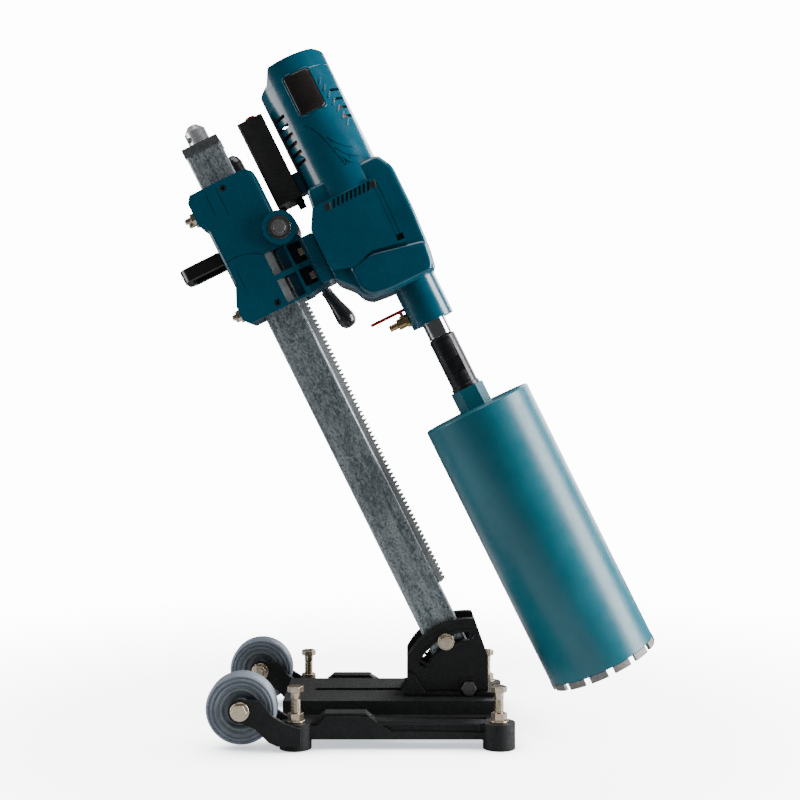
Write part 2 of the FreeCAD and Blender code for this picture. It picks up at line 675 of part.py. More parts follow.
def make_column():
    half, inner = COLUMN_HALF, COLUMN_HALF - D.column_wall
    body = new_body("ColumnTube")
    pad(body, "XY", (D.column_bottom, D.column_top), rectangle((-half, half), (-half, half)))
    pocket(body, "XY", (D.column_bottom - 1, D.column_top + 1), rectangle((-inner, inner), (-inner, inner)))
    outside = float(half)

    def outer_corner(edge):
        middle = edge.CenterOfMass
        upright = along(edge, (0, 0, 1))
        return upright and abs(abs(middle.x) - outside) < 0.01 and abs(abs(middle.y) - outside) < 0.01

    soften(body, D.column_corner, outer_corner)
    holes = [rod("y", (0, D.clamp_arm), (-half - 1, half + 1), D.clamp_radius + D.loose_fit)]
    for height in rack_screw_places():
        holes.append(rod("x", (0, height), (inner - 1, half + 1), D.rack_screw_radius + D.loose_fit))
    piece("column_tube", cut(body, *holes), COLUMN)

    plug = inner - D.running_fit * 4
    eye = D.eye_radius
    foot = fuse(
        block((-plug, plug), (-plug, plug), (D.column_bottom - 1, D.clamp_arm + 30)),
        block((-eye, eye), (-half, half), (0, D.column_bottom)),
        rod("y", (0, 0), (-half, half), eye),
    )
    bores = (
        rod("y", (0, 0), (-half - 1, half + 1), D.bolt_radius),
        rod("y", (0, D.clamp_arm), (-half - 1, half + 1), D.clamp_radius + D.loose_fit),
    )
    piece("column_foot", cut(foot, *bores), COLUMN)


def make_rack():
    """Straight 20 degree teeth facing forward, with a tooth space level with the pinion's centre."""
    module = float(D.gear_module)
    pitch = math.pi * module
    back, root, tip = float(COLUMN_HALF), float(RACK_ROOT), float(RACK_TIP)
    lean = math.tan(math.radians(20))
    at_pitch = pitch / 2 - 0.16 * module
    half_tip = at_pitch / 2 - module * lean
    half_root = at_pitch / 2 + (tip - root - module) * lean
    first = float(D.pinion_z) - (float(D.rack_below) - 0.5) * pitch
    count = int(float(D.rack_below) + float(D.rack_above))
    corners = [V(back, 0, first - pitch / 2), V(root, 0, first - pitch / 2)]
    for tooth in range(count):
        middle = first + tooth * pitch
        corners += [
            V(root, 0, middle - half_root), V(tip, 0, middle - half_tip),
            V(tip, 0, middle + half_tip), V(root, 0, middle + half_root),
        ]
    last = first + (count - 0.5) * pitch
    corners += [V(root, 0, last), V(back, 0, last), corners[0]]
    width = float(D.rack_half_width)
    bar = Part.Face(Part.makePolygon(corners)).extrude(V(0, 2 * width, 0))
    bar.translate(V(0, -width, 0))
    bar = shape_object(bar, "RackBar")
    holes, screws = [], []
    seat = RACK_ROOT - 3
    for height in rack_screw_places():
        at = (0, height)
        holes.append(rod("x", at, (COLUMN_HALF - 1, RACK_TIP + 1), D.rack_screw_radius + D.loose_fit))
        holes.append(rod("x", at, (seat, RACK_TIP + 1), D.rack_screw_head + D.loose_fit))
        head = rod("x", at, (seat, RACK_ROOT - 0.4), D.rack_screw_head)
        shank = rod("x", at, (COLUMN_HALF - D.column_wall, seat + 1), D.rack_screw_radius)
        socket = hexagon("x", at, (seat + 1, RACK_ROOT), 4)
        screws.append(cut(fuse(head, shank), socket))
    piece("rack", cut(bar, *holes), COLUMN)
    piece("rack_screws", group(*screws), COLUMN)


def make_column_top():
    half = COLUMN_HALF + D.cap_over
    plug = COLUMN_HALF - D.column_wall - D.running_fit * 4
    top = D.column_top + D.cap_height
    cap = fuse(
        block((-half, half), (-half, half), (D.column_top, top)),
        block((-plug, plug), (-plug, plug), (D.column_top - D.plug_length, D.column_top + 1)),
    )
    bore = rod("z", (0, 0), (D.column_top - D.plug_length - 1, top + 1), D.jack_thread)
    piece("top_cap", cut(cap, bore), COLUMN)

    low = top + D.side_fit
    nose = low + D.jack_body
    thread = D.jack_thread - D.running_fit
    profile = [
        (0, top - D.jack_thread_length), (thread, top - D.jack_thread_length), (thread, low),
        (D.jack_radius, low), (D.jack_radius, nose), (D.jack_tip, nose + D.jack_nose),
        (0, nose + D.jack_nose),
    ]
    screw = turned(profile)
    hole = new("Part::Cylinder", Radius=D.jack_hole, Height=D.jack_radius * 2 + 4)
    turn = FreeCAD.Rotation(V(0, 0, 1), 45).multiply(TURN["x"])
    reach = float(D.jack_radius + 2)
    start = turn.multVec(V(0, 0, -reach))
    hole.Placement = FreeCAD.Placement(V(start.x, start.y, 0), turn)
    tie(hole, "Placement.Base.z", low + D.jack_body / 2)
    piece("jack_screw", cut(screw, hole), COLUMN)


def make_clamp():
    """The bolt through the arc slots that locks the column's lean, and its nut, both with flanges."""
    at = (0, D.clamp_arm)
    face = D.cheek_outer + D.side_fit
    flange = face + D.clamp_flange_height
    nut_end = flange + D.clamp_head
    bolt = fuse(
        rod("y", at, (-flange, nut_end + 3), D.clamp_radius),
        rod("y", at, (-flange, -face), D.clamp_flange),
        hexagon("y", at, (-flange - D.clamp_head, 1 - flange), D.clamp_flats),
    )
    piece("clamp_bolt", group(bolt), COLUMN)
    body = fuse(
        rod("y", at, (face, flange), D.clamp_flange),
        hexagon("y", at, (flange - 1, nut_end), D.clamp_flats),
    )
    bore = rod("y", at, (face - 1, nut_end + 1), D.clamp_radius + D.loose_fit)
    piece("clamp_nut", cut(body, bore), COLUMN)


# ---------------------------------------------------------------- carriage

def mount_bolt_places():
    return [(sign * D.mount_bolt_y, z) for sign in SIDES for z in (D.mount_bolt_low, D.mount_bolt_high)]


def adjuster_places():
    """Adjuster height, and the back face that its lock nut sits on."""
    lower = D.sleeve_back - D.lower_boss
    upper = D.sleeve_back - D.upper_boss
    spots = []
    for sign in SIDES:
        spots.append((sign * D.adjuster_y, D.adjuster_low, lower))
        spots.append((sign * D.adjuster_y, D.adjuster_high, upper))
    return spots


def pad_screw_places():
    return [(sign, x, z) for sign in SIDES for x, z in ((2, D.pad_screw_high), (0, D.pad_screw_low))]


def make_carriage_housing():
    """A sleeve round the column, a barrel for the pinion, and a ribbed arm that carries the drill."""
    back, front = D.sleeve_back, D.sleeve_front
    low, high = D.sleeve_bottom, D.sleeve_top
    lower, upper = back - D.lower_boss, back - D.upper_boss
    body = new_body("CarriageHousing")
    outline = [
        (back - 2, low), (lower, low + 8), (lower, D.adjuster_low + 10), (back, D.adjuster_low + 32),
        (back, D.adjuster_high - 24), (upper, D.adjuster_high - 15), (upper, D.adjuster_high + 18),
        (back, high), (front - 9, high), (front, high - 8), (front, low),
    ]
    pad(body, "XZ", (-D.sleeve_half, D.sleeve_half), outline)
    arm = [
        (front - 4, low), (D.arm_front, low + 4), (D.arm_front, D.arm_top),
        (D.arm_front - 6, D.arm_top + 10), (front - 4, D.arm_top + 10),
    ]
    pad(body, "XZ", (-D.arm_half, D.arm_half), arm)
    barrel = D.bearing_radius + D.barrel_wall
    pad(body, "XZ", (-D.barrel_half, D.barrel_half), ((PINION_X, D.pinion_z), barrel))
    through = (low - 1, high + 1)
    pocket(body, "XY", through, rectangle((-CHANNEL, CHANNEL), (-CHANNEL, CHANNEL)))
    rack_way = D.rack_half_width + D.channel_gap
    pocket(body, "XY", through, rectangle((CHANNEL - 1, RACK_TIP + 4), (-rack_way, rack_way)))
    bore = D.bearing_radius + D.loose_fit
    pocket(body, "XZ", (-D.barrel_half - 1, D.barrel_half + 1), ((PINION_X, D.pinion_z), bore))
    rib = low + 36
    for sign in SIDES:
        for span in ((low + 3, rib), (rib + 7, D.arm_top - 1)):
            window = rectangle((12, RACK_TIP + 4), span)
            pocket(body, "XZ", side(sign, CHANNEL - 1, D.sleeve_half + 1), window)
        for span in ((low + 11, rib), (rib + 7, D.arm_top - 4)):
            pocket(body, "XZ", side(sign, 8, D.arm_half + 4), rectangle((front - 4, D.arm_front - 4), span))
    upright = float(D.sleeve_half)

    def sleeve_corner(edge):
        middle = edge.CenterOfMass
        level = float(D.adjuster_high) - 20 > middle.z > float(D.adjuster_low) + 34
        at_back = abs(middle.x - float(back)) < 0.01 and level
        at_front = abs(middle.x - float(front)) < 0.01 and middle.z > float(D.pinion_z) + 30
        return along(edge, (0, 0, 1)) and abs(abs(middle.y) - upright) < 0.01 and (at_back or at_front)

    soften(body, 7, sleeve_corner)
    holes = []
    for y, z, face in adjuster_places():
        holes.append(rod("x", (y, z), (face - 1, 1 - CHANNEL), D.adjuster_radius + D.loose_fit))
    for y, z in mount_bolt_places():
        holes.append(rod("x", (y, z), (D.arm_front - 6, D.arm_front + 1), D.mount_bolt_radius + D.loose_fit))
    for sign, x, z in pad_screw_places():
        head = side(sign, D.sleeve_half - 4, D.sleeve_half + 1)
        holes.append(rod("y", (x, z), head, D.pad_screw_head + D.loose_fit))
        shank = side(sign, CHANNEL - 1, D.sleeve_half)
        holes.append(rod("y", (x, z), shank, D.pad_screw_radius + D.loose_fit))
    piece("carriage_housing", cut(body, *holes), COLUMN)


def make_slides():
    """Plastic pads between the sleeve and the column, their screws and the adjusters behind them."""
    inner, outer = COLUMN_HALF + D.pad_gap, CHANNEL
    low, high = D.sleeve_bottom, D.sleeve_top
    lower, upper = (low + 4, low + 76), (high - 64, high - 4)
    short = ((low + 4, low + 34), (high - 44, high - 12))
    pads = []
    for sign in SIDES:
        pads += [block((-20, 22), side(sign, inner, outer), span) for span in (lower, upper)]
        beside = side(sign, D.rack_half_width + D.channel_gap + 1, COLUMN_HALF - 1)
        pads += [block((inner, outer), beside, span) for span in short]
    pads += [block((-outer, -inner), (-22, 22), span) for span in short]
    piece("slide_pads", group(*pads), COLUMN)
    screws = []
    for sign, x, z in pad_screw_places():
        head = side(sign, D.sleeve_half - 4, D.sleeve_half - 1)
        shank = side(sign, CHANNEL, D.sleeve_half - 3)
        solid = fuse(rod("y", (x, z), head, D.pad_screw_head), rod("y", (x, z), shank, D.pad_screw_radius))
        screws.append(cut(solid, hexagon("y", (x, z), side(sign, D.sleeve_half - 3, D.sleeve_half), 4)))
    piece("pad_screws", group(*screws), COLUMN)
    tips, nuts = [], []
    for y, z, face in adjuster_places():
        shank = rod("x", (y, z), (D.adjuster_tip + 2, -CHANNEL), D.adjuster_radius)
        tip = (D.adjuster_tip, D.adjuster_tip + 2)
        point = cone("x", (y, z), tip, D.adjuster_radius - 1, D.adjuster_radius)
        tips.append(fuse(shank, point))
        nuts.append(
            nut("x", (y, z), (face - D.adjuster_nut, face), D.adjuster_flats, D.adjuster_radius + D.loose_fit)
        )
    piece("adjuster_screws", group(*tips), COLUMN)
    piece("adjuster_nuts", group(*nuts), COLUMN)


def make_bow_handle():
    """A flat bow behind the carriage, to lift the rig by."""
    body = new_body("BowHandle")
    span = (D.bow_low, D.bow_high)
    end, start = D.bow_back, D.sleeve_back
    pad(body, "XY", span, rectangle((end, start), (-D.bow_half, D.bow_half)))
    inner = D.bow_half - D.bow_bar
    gap = rectangle((end + D.bow_bar, start + 1), (-inner, inner))
    pocket(body, "XY", (D.bow_low - 1, D.bow_high + 1), gap)

    def upright(edge, x, y):
        middle = edge.CenterOfMass
        at = abs(middle.x - float(x)) < 0.01 and abs(abs(middle.y) - float(y)) < 0.01
        return along(edge, (0, 0, 1)) and at

    soften(body, D.bow_corner, lambda edge: upright(edge, end, D.bow_half))
    soften(body, D.bow_corner - D.bow_bar, lambda edge: upright(edge, end + D.bow_bar, inner))
    piece("bow_handle", body, COLUMN)


def make_feed():
    """Pinion shaft in its bearings, and the two-armed handle on its far end."""
    at = (PINION_X, D.pinion_z)
    face = D.rack_half_width
    width = float(face * 2)
    toothed = gear_shape(D.pinion_teeth, D.gear_module, width, 0.9, 180)
    toothed.Placement = FreeCAD.Placement(
        V(float(PINION_X), width / 2, float(D.pinion_z)), FreeCAD.Rotation(V(1, 0, 0), 90)
    )
    end = D.handle_y + D.handle_hub_width / 2
    shaft = rod("y", at, (-D.barrel_half - 1, end - 1), D.shaft_radius)
    piece("pinion_shaft", fuse(shaft, shape_object(toothed, "PinionTeeth")), COLUMN)
    bearings = []
    for sign in SIDES:
        span = side(sign, D.barrel_half - D.bearing_width, D.barrel_half)
        bearings.append(tube("y", at, span, D.bearing_radius, D.shaft_radius + D.running_fit))
    piece("pinion_bearings", group(*bearings), COLUMN)

    turn = FreeCAD.Rotation(V(0, 1, 0), float(D.handle_angle))
    handle = on_column(PINION_X, D.handle_y, D.pinion_z, turn)
    half = D.handle_hub_width / 2
    hub = fuse(
        rod("y", (0, 0), (-half, half), D.handle_hub),
        rod("z", (0, 0), (-D.handle_reach, D.handle_reach), D.handle_bar),
    )
    bore = rod("y", (0, 0), (-half - 1, half - 1), D.shaft_radius + D.loose_fit)
    piece("feed_crossbar", cut(hub, bore), handle)
    fat = D.grip_radius
    bar = D.handle_bar + D.loose_fit
    start, finish = D.grip_start, D.grip_end
    profile = [
        (bar, start), (8.5, start), (8, start + 8), (9.5, start + 22), (fat - 1.5, start + 40),
        (fat, start + 49), (fat - 1.5, start + 57), (fat - 6, finish - 1.5), (0, finish),
        (0, D.handle_reach + 0.5), (bar, D.handle_reach + 0.5),
    ]
    piece("feed_grips", group(turned(profile), turned(profile, flip=True)), handle)


def make_mount_plate():
    body = block((PLATE_BACK, PLATE_FRONT), (-D.plate_half, D.plate_half), (D.plate_bottom, D.plate_top))
    loose = D.mount_bolt_radius + D.loose_fit
    holes = [rod("x", spot, (PLATE_BACK - 1, PLATE_FRONT + 1), loose) for spot in mount_bolt_places()]
    piece("mount_plate", cut(body, *holes), COLUMN)
    bolts = []
    seat = D.arm_front - 4
    for spot in mount_bolt_places():
        end = seat + D.mount_bolt_grip
        bolts.append(
            hex_bolt("x", spot, seat, end, D.mount_bolt_radius, D.mount_bolt_flats, D.mount_bolt_head, -1)
        )
    piece("mount_bolts", group(*bolts), COLUMN)


# ---------------------------------------------------------------- drill body

def layshaft_place():
    """Where circles of the two centre distances cross, on the far side of the shafts' plane."""
    spacing, first, second = float(SHAFT_SPACING), float(LAY_TO_MOTOR), float(LAY_TO_SPINDLE)
    x = (first ** 2 - second ** 2 + spacing ** 2) / (2 * spacing)
    return float(D.motor_x) + x, math.sqrt(first ** 2 - x ** 2)


LAY_X, LAY_Y = layshaft_place()
FAST_Z = (D.plate_low - 18, D.plate_low - 8)
SLOW_Z = (D.plate_low - 56, D.plate_low - 40)


def make_gear_housing():
    """The casting round the gears and the cooling fan."""
    left, right = PLATE_FRONT, D.spindle_x + 41
    low, high = D.case_bottom, D.case_top
    motor_left = D.motor_x - D.motor_radius
    body = new_body("GearHousing")
    outline = [
        (left, low + 45), (left + 19, low + 24), (left + 23, low + 12), (left + 33, low + 3),
        (left + 60, low), (right - 9, low), (right - 4, low + 27), (right, low + 84), (right, high - 22),
        (right - 12, high), (motor_left, high), (motor_left - 4, high - 30), (left, D.plate_top + 4),
    ]
    pad(body, "XZ", (-D.case_half, D.case_half), outline)
    soften(body, 9, corner(outline[1], outline[3], outline[5], outline[8], outline[9], outline[12]))
    soften(body, 5, lambda edge: abs(abs(edge.CenterOfMass.y) - float(D.case_half)) < 0.01)
    wall = D.case_wall
    inside = [
        (left + wall + 2, low + 47), (left + 19 + wall, low + 27), (left + 29, low + 8),
        (right - 9 - wall, low + 8), (right - wall, low + 84), (right - wall, high - 24),
        (right - 14 - wall, high - wall), (motor_left + wall, high - wall), (motor_left + 2, high - 30),
        (left + wall + 2, D.plate_top),
    ]
    pocket(body, "XZ", (wall - D.case_half, D.case_half - wall), inside)
    motor = (D.motor_x, 0)
    pocket(body, "XY", (high - wall - 1, high + 1), (motor, D.motor_radius - D.motor_wall - 2))
    pocket(body, "XY", (low - 1, low + 9), ((D.spindle_x, 0), D.spigot_radius + D.loose_fit))
    holes = [rod("x", spot, (left - 1, left + wall + 4), D.mount_bolt_radius + D.loose_fit)
             for spot in mount_bolt_places()]
    for index in range(int(float(D.vent_count))):
        for sign in SIDES:
            x = motor_left + 16 + index * D.vent_width * 2.1
            across = side(sign, D.case_half - wall - 1, D.case_half + 1)
            holes.append(block((x, x + D.vent_width), across, (high - 40, high - 27)))
    boss = tube("z", (LAY_X, LAY_Y), (low + 7, low + 18), D.lay_bearing + 1.7, D.lay_bearing + D.loose_fit)
    piece("gear_housing", fuse(cut(body, *holes), boss), COLUMN)


def make_bearing_plate():
    """The inner wall between the fan and the gears, with a seat for each shaft's upper bearing."""
    left = D.motor_x - D.motor_radius + 4
    right = D.spindle_x + 41 - D.case_wall - D.pad_gap
    half = D.case_half - D.case_wall - D.pad_gap
    plate = block((left, right), (-half, half), (D.plate_low, D.plate_high))
    through = (D.plate_low - 1, D.plate_high + 1)
    bores = [
        rod("z", (D.motor_x, 0), through, D.motor_bearing + D.loose_fit),
        rod("z", (LAY_X, LAY_Y), through, D.lay_bearing + D.loose_fit),
        rod("z", (D.spindle_x, 0), through, D.spindle_bearing + D.loose_fit),
    ]
    piece("bearing_plate", cut(plate, *bores), COLUMN)


def make_bearings():
    """Ball bearings of the armature, layshaft and spindle, as plain rings."""
    low, high = D.plate_low + 1, D.plate_high - 1
    floor = D.case_bottom + 8
    motor, lay_at, spindle = (D.motor_x, 0), (LAY_X, LAY_Y), (D.spindle_x, 0)
    rings = [
        (motor, (low, high), D.motor_bearing, D.motor_shaft),
        (motor, (D.motor_top - 2, D.motor_top + 6), D.motor_bearing, D.motor_shaft),
        (lay_at, (low, high), D.lay_bearing, D.lay_shaft),
        (lay_at, (floor, floor + 8), D.lay_bearing, D.lay_shaft),
        (spindle, (low, high), D.spindle_bearing, D.spindle_top),
        (spindle, (floor - 6, floor + 8), 22, D.spindle_seat),
    ]
    solids = [tube("z", at, span, outer, inner + D.running_fit) for at, span, outer, inner in rings]
    piece("shaft_bearings", group(*solids), COLUMN)


def make_motor():
    """Motor housing, end cap, brush covers and brushes, stator, armature and fan."""
    at = (D.motor_x, 0)
    low, high = D.case_top, D.motor_top
    inner = D.motor_radius - D.motor_wall
    shell = tube("z", at, (low, high), D.motor_radius, inner)
    slots = []
    for index in range(6):
        z = low + 34 + index * 13
        for sign in SIDES:
            slots.append(block((D.motor_x - 51, D.motor_x - 34), side(sign, 14, 40), (z, z + 5)))
        slots.append(block((D.motor_x + 30, D.motor_x + 54), (-38, -20), (z + 30, z + 34)) if index < 4
                     else block((D.motor_x + 30, D.motor_x + 54), (20, 38), (z, z + 4)))
    piece("motor_housing", cut(shell, *slots), COLUMN)

    top = D.cap_top
    left, right = D.motor_x - D.motor_radius, D.motor_x + D.motor_radius
    body = new_body("EndCap")
    outline = [
        (left, high), (right, high), (right, top - 5), (right - 14, top), (left + 26, top),
        (left + 15, high + 7), (left, high + 1),
    ]
    pad(body, "XZ", (-D.motor_radius, D.motor_radius), outline)
    dome = common(body, rod("z", at, (high - 1, top + 1), D.motor_radius))
    inside = [
        (left + 7, high - 1), (right - 5, high - 1), (right - 5, top - 8), (right - 16, top - 5),
        (left + 29, top - 5), (left + 19, high + 5), (left + 7, high + 1),
    ]
    hollow = new_body("EndCapHollow")
    pad(hollow, "XZ", (-D.motor_radius, D.motor_radius), inside)
    hollow = common(hollow, rod("z", at, (high - 2, top), inner))
    boss = tube("z", at, (high + 1, top - 4), D.motor_bearing + 4, D.motor_bearing + D.loose_fit)
    piece("end_cap", fuse(cut(dome, hollow), boss), COLUMN)

    covers, brushes = [], []
    for sign in SIDES:
        shield = tube("z", at, (high - 56, high + 2), D.motor_radius + D.brush_cover, D.motor_radius)
        across = side(sign, 10, D.motor_radius + 5)
        frame = block((D.motor_x - 15, D.motor_x + 23), across, (high - 55, high + 1))
        covers.append(common(shield, frame))
        reach = side(sign, D.commutator_radius + D.side_fit, inner - 8)
        brushes.append(block((D.motor_x - 5, D.motor_x + 5), reach, (high - 32, high - 20)))
    piece("brush_covers", group(*covers), COLUMN)
    piece("carbon_brushes", group(*brushes), COLUMN)
    core = (low + 24, low + 86)
    piece("stator", tube("z", at, core, inner - D.loose_fit, D.armature_radius + 0.8), COLUMN)

    fast = gear_shape(D.fast_pinion, D.fast_module, float(FAST_Z[1] - FAST_Z[0]) + 2, 0.8, PINION_PHASE)
    fast.Placement = FreeCAD.Placement(V(float(D.motor_x), 0, float(FAST_Z[0]) - 1), FreeCAD.Rotation())
    shaft_end = D.motor_top + 7
    armature = fuse(
        shape_object(fast, "MotorPinion"),
        rod("z", at, (FAST_Z[1], shaft_end), D.motor_shaft),
        rod("z", at, core, D.armature_radius),
        rod("z", at, (core[0] - 12, core[1] + 12), D.armature_radius - 5),
        rod("z", at, (high - 38, high - 14), D.commutator_radius),
    )
    piece("armature", armature, COLUMN)

    fan_low = D.plate_high + 5
    count = int(float(D.fan_blades))
    blades = [block((10, inner - 6), (-1, 1), (fan_low, fan_low + 16)) for _ in range(count)]
    for index, blade in enumerate(blades):
        blade.setExpression("Placement.Base.x", None)
        blade.setExpression("Placement.Base.y", None)
        turn = FreeCAD.Rotation(V(0, 0, 1), 360 * index / count)
        start = turn.multVec(V(10, -1, 0)) + V(float(D.motor_x), 0, 0)
        blade.Placement = FreeCAD.Placement(V(start.x, start.y, float(fan_low)), turn)
    disc = tube("z", at, (fan_low, fan_low + 2), inner - 6, D.motor_shaft + D.loose_fit)
    hub = tube("z", at, (fan_low, fan_low + 16), 12, D.motor_shaft + D.loose_fit)
    piece("cooling_fan", fuse(disc, hub, *blades), COLUMN)


def mesh_phases():
    """Angles that put a tooth of each layshaft gear opposite a space of its mate."""
    to_motor = math.degrees(math.atan2(-LAY_Y, float(D.motor_x) - LAY_X))
    to_spindle = math.degrees(math.atan2(-LAY_Y, float(D.spindle_x) - LAY_X))
    motor = to_motor + 180 + 180 / float(D.fast_pinion)
    spindle = to_spindle + 180 + 180 / float(D.slow_wheel)
    return to_motor, to_spindle, motor, spindle


LAY_FAST_PHASE, LAY_SLOW_PHASE, PINION_PHASE, SPINDLE_PHASE = mesh_phases()


def make_gears():
    """The layshaft with its two gears, the spindle gear, the spindle and the parts on the spindle's nose."""
    fast = gear_shape(D.fast_wheel, D.fast_module, float(FAST_Z[1] - FAST_Z[0]), 0.65, LAY_FAST_PHASE)
    fast.Placement = FreeCAD.Placement(V(LAY_X, LAY_Y, float(FAST_Z[0])), FreeCAD.Rotation())
    slow = gear_shape(D.slow_pinion, D.slow_module, float(SLOW_Z[1] - SLOW_Z[0]) + 2, 0.8, LAY_SLOW_PHASE)
    slow.Placement = FreeCAD.Placement(V(LAY_X, LAY_Y, float(SLOW_Z[0]) - 1), FreeCAD.Rotation())
    shaft = rod("z", (LAY_X, LAY_Y), (D.case_bottom + 9, D.plate_high), D.lay_shaft)
    piece("layshaft", fuse(shaft, shape_object(fast, "FastWheel"), shape_object(slow, "SlowPinion")), COLUMN)

    wheel = gear_shape(D.slow_wheel, D.slow_module, float(SLOW_Z[1] - SLOW_Z[0]), 0.65, SPINDLE_PHASE)
    wheel.Placement = FreeCAD.Placement(V(float(D.spindle_x), 0, float(SLOW_Z[0])), FreeCAD.Rotation())
    at = (D.spindle_x, 0)
    bore = rod("z", at, (SLOW_Z[0] - 1, SLOW_Z[1] + 1), D.spindle_seat - 1 + D.loose_fit)
    piece("spindle_gear", cut(shape_object(wheel, "SlowWheel"), bore), COLUMN)

    low = D.spindle_bottom
    profile = [
        (3, low - 20), (10, low - 20), (10, low), (D.spindle_radius, low), (D.spindle_radius, low + 23.5),
        (14, low + 23.5), (14, D.case_bottom), (D.spindle_seat, D.case_bottom), (D.spindle_seat, SLOW_Z[0]),
        (D.spindle_seat - 1, SLOW_Z[0]), (D.spindle_seat - 1, SLOW_Z[1] + 2), (D.spindle_top, SLOW_Z[1] + 2),
        (D.spindle_top, D.plate_high), (3, D.plate_high),
    ]
    piece("spindle", turned(profile), on_column(D.spindle_x))


def make_collar():
    """Water collar with the spindle's seal and lower bearing."""
    low, seat = D.collar_bottom, D.case_bottom
    loose = D.spindle_radius + D.side_fit
    profile = [
        (loose, low), (D.collar_radius, low), (D.collar_radius, seat), (D.spigot_radius, seat),
        (D.spigot_radius, seat + 18), (22 + D.loose_fit, seat + 18), (22 + D.loose_fit, seat + 2),
        (D.seal_radius, seat + 2), (D.seal_radius, low + 4), (loose, low + 4),
    ]
    collar = turned(profile, (D.spindle_x, 0, 0))
    port = rod("x", (0, D.valve_z), (D.spindle_x - D.collar_radius - 1, D.spindle_x - 19), 5 + D.loose_fit)
    piece("water_collar", cut(collar, port), COLUMN)
    seal = tube("z", (D.spindle_x, 0), (low + 4, low + 10), D.seal_radius, 14 + D.running_fit)
    piece("spindle_seal", group(seal), COLUMN)


def make_adapter():
    """Threaded adapter between the spindle and the bit, with a pair of spanner flats."""
    low, high = D.adapter_bottom, D.spindle_bottom - 0.5
    radius = D.adapter_radius
    hub_top = D.bit_top + D.bit_hex_height
    profile = [
        (4, hub_top - 26), (D.bit_thread, hub_top - 26), (D.bit_thread, hub_top + D.loose_fit),
        (radius + 1.5, hub_top + D.loose_fit), (radius + 1.5, low), (radius, low), (radius, high - 2),
        (radius - 2, high), (10 + D.loose_fit, high), (10 + D.loose_fit, high - 22), (4, high - 22),
    ]
    body = turned(profile, (D.spindle_x, 0, 0))
    flats = []
    for sign in SIDES:
        across = side(sign, D.adapter_flats / 2, radius + 2)
        flats.append(block((D.spindle_x - 22, D.spindle_x + 22), across, (low + 18, low + 40)))
    piece("adapter", cut(body, *flats), COLUMN)


def make_core_bit():
    """Barrel with its top plate and hexagonal hub, and the diamond segments on its rim."""
    low, top = D.bit_bottom, D.bit_top
    inner = D.bit_radius - D.bit_wall
    at = (D.spindle_x, 0)
    barrel = turned(
        [
            (D.bit_thread + D.loose_fit, top), (D.bit_thread + D.loose_fit, top - D.bit_plate),
            (inner, top - D.bit_plate), (inner, low), (D.bit_radius, low), (D.bit_radius, top - 2),
            (D.bit_radius - 2, top),
        ],
        (D.spindle_x, 0, 0),
    )
    hub_span = (top - 1, top + D.bit_hex_height)
    hub = hexagon("z", at, hub_span, D.bit_hex)
    bore = rod("z", at, (top - 2, top + D.bit_hex_height + 1), D.bit_thread + D.loose_fit)
    piece("core_bit", fuse(barrel, cut(hub, bore)), COLUMN)

    over = D.segment_over
    rim = tube("z", at, (low - D.segment_height, low), D.bit_radius + over, inner - over)
    count = int(float(D.segment_half_count))
    gap = math.pi * (D.bit_radius * 2 - D.bit_wall) / (2 * count) - D.segment_length
    gaps = []
    for index in range(count):
        bar = new("Part::Box", Length=D.bit_radius * 2 + 10, Width=gap, Height=D.segment_height + 2)
        turn = FreeCAD.Rotation(V(0, 0, 1), 180 * (index + 0.5) / count)
        start = turn.multVec(V(-float(D.bit_radius) - 5, -float(gap) / 2, 0))
        start += V(float(D.spindle_x), 0, float(low - D.segment_height - 1))
        bar.Placement = FreeCAD.Placement(start, turn)
        gaps.append(bar)
    piece("bit_segments", cut(rim, *gaps), COLUMN)


def make_valve():
    """Brass ball valve screwed into the water collar, its ball and stem, and its lever."""
    at = (0, D.valve_z)
    port = D.spindle_x - D.collar_radius
    stem_x = D.valve_stem_x
    stem_at = (stem_x, 0)
    neck_top = D.lever_z - 4
    body = fuse(
        rod("x", at, (D.valve_end, port), D.valve_radius),
        hexagon("x", at, (port - 4, port), D.valve_radius * 2 + 1),
        rod("x", at, (port - 1, port + 9), 5),
        rod("x", at, (D.barb_end, D.valve_end + 1), 4.2),
        *[cone("x", at, (D.barb_end + step, D.barb_end + step + 3.5), 4, 5.2) for step in (0, 4, 8)],
        rod("z", stem_at, (D.valve_z, neck_top), D.stem_radius + 2.5),
    )
    seat = new("Part::Sphere", Radius=D.ball_radius + D.side_fit)
    seat = lay(seat, "z", stem_at, D.valve_z)
    flow = rod("x", at, (D.barb_end - 1, port + 10), D.flow_radius)
    hole = rod("z", stem_at, (D.valve_z, neck_top + 1), D.stem_radius + D.running_fit)
    piece("valve_body", cut(body, seat, flow, hole), COLUMN)

    ball = lay(new("Part::Sphere", Radius=D.ball_radius), "z", stem_at, D.valve_z)
    way = rod("x", at, (stem_x - 10, stem_x + 10), D.flow_radius)
    ball = cut(ball, way)
    top = D.lever_z + D.lever_thick
    stem = rod("z", stem_at, (D.valve_z + D.flow_radius + 1, top), D.stem_radius)
    piece("valve_ball", fuse(ball, stem), COLUMN)
    lever = fuse(
        block((D.lever_end, stem_x), (-D.lever_half, D.lever_half), (D.lever_z, top)),
        rod("z", stem_at, (D.lever_z, top), D.lever_half),
        rod("z", (D.lever_end, 0), (D.lever_z, top), D.lever_half),
    )
    piece("valve_lever", cut(lever, rod("z", stem_at, (D.lever_z - 1, top + 1), D.stem_radius)), COLUMN)


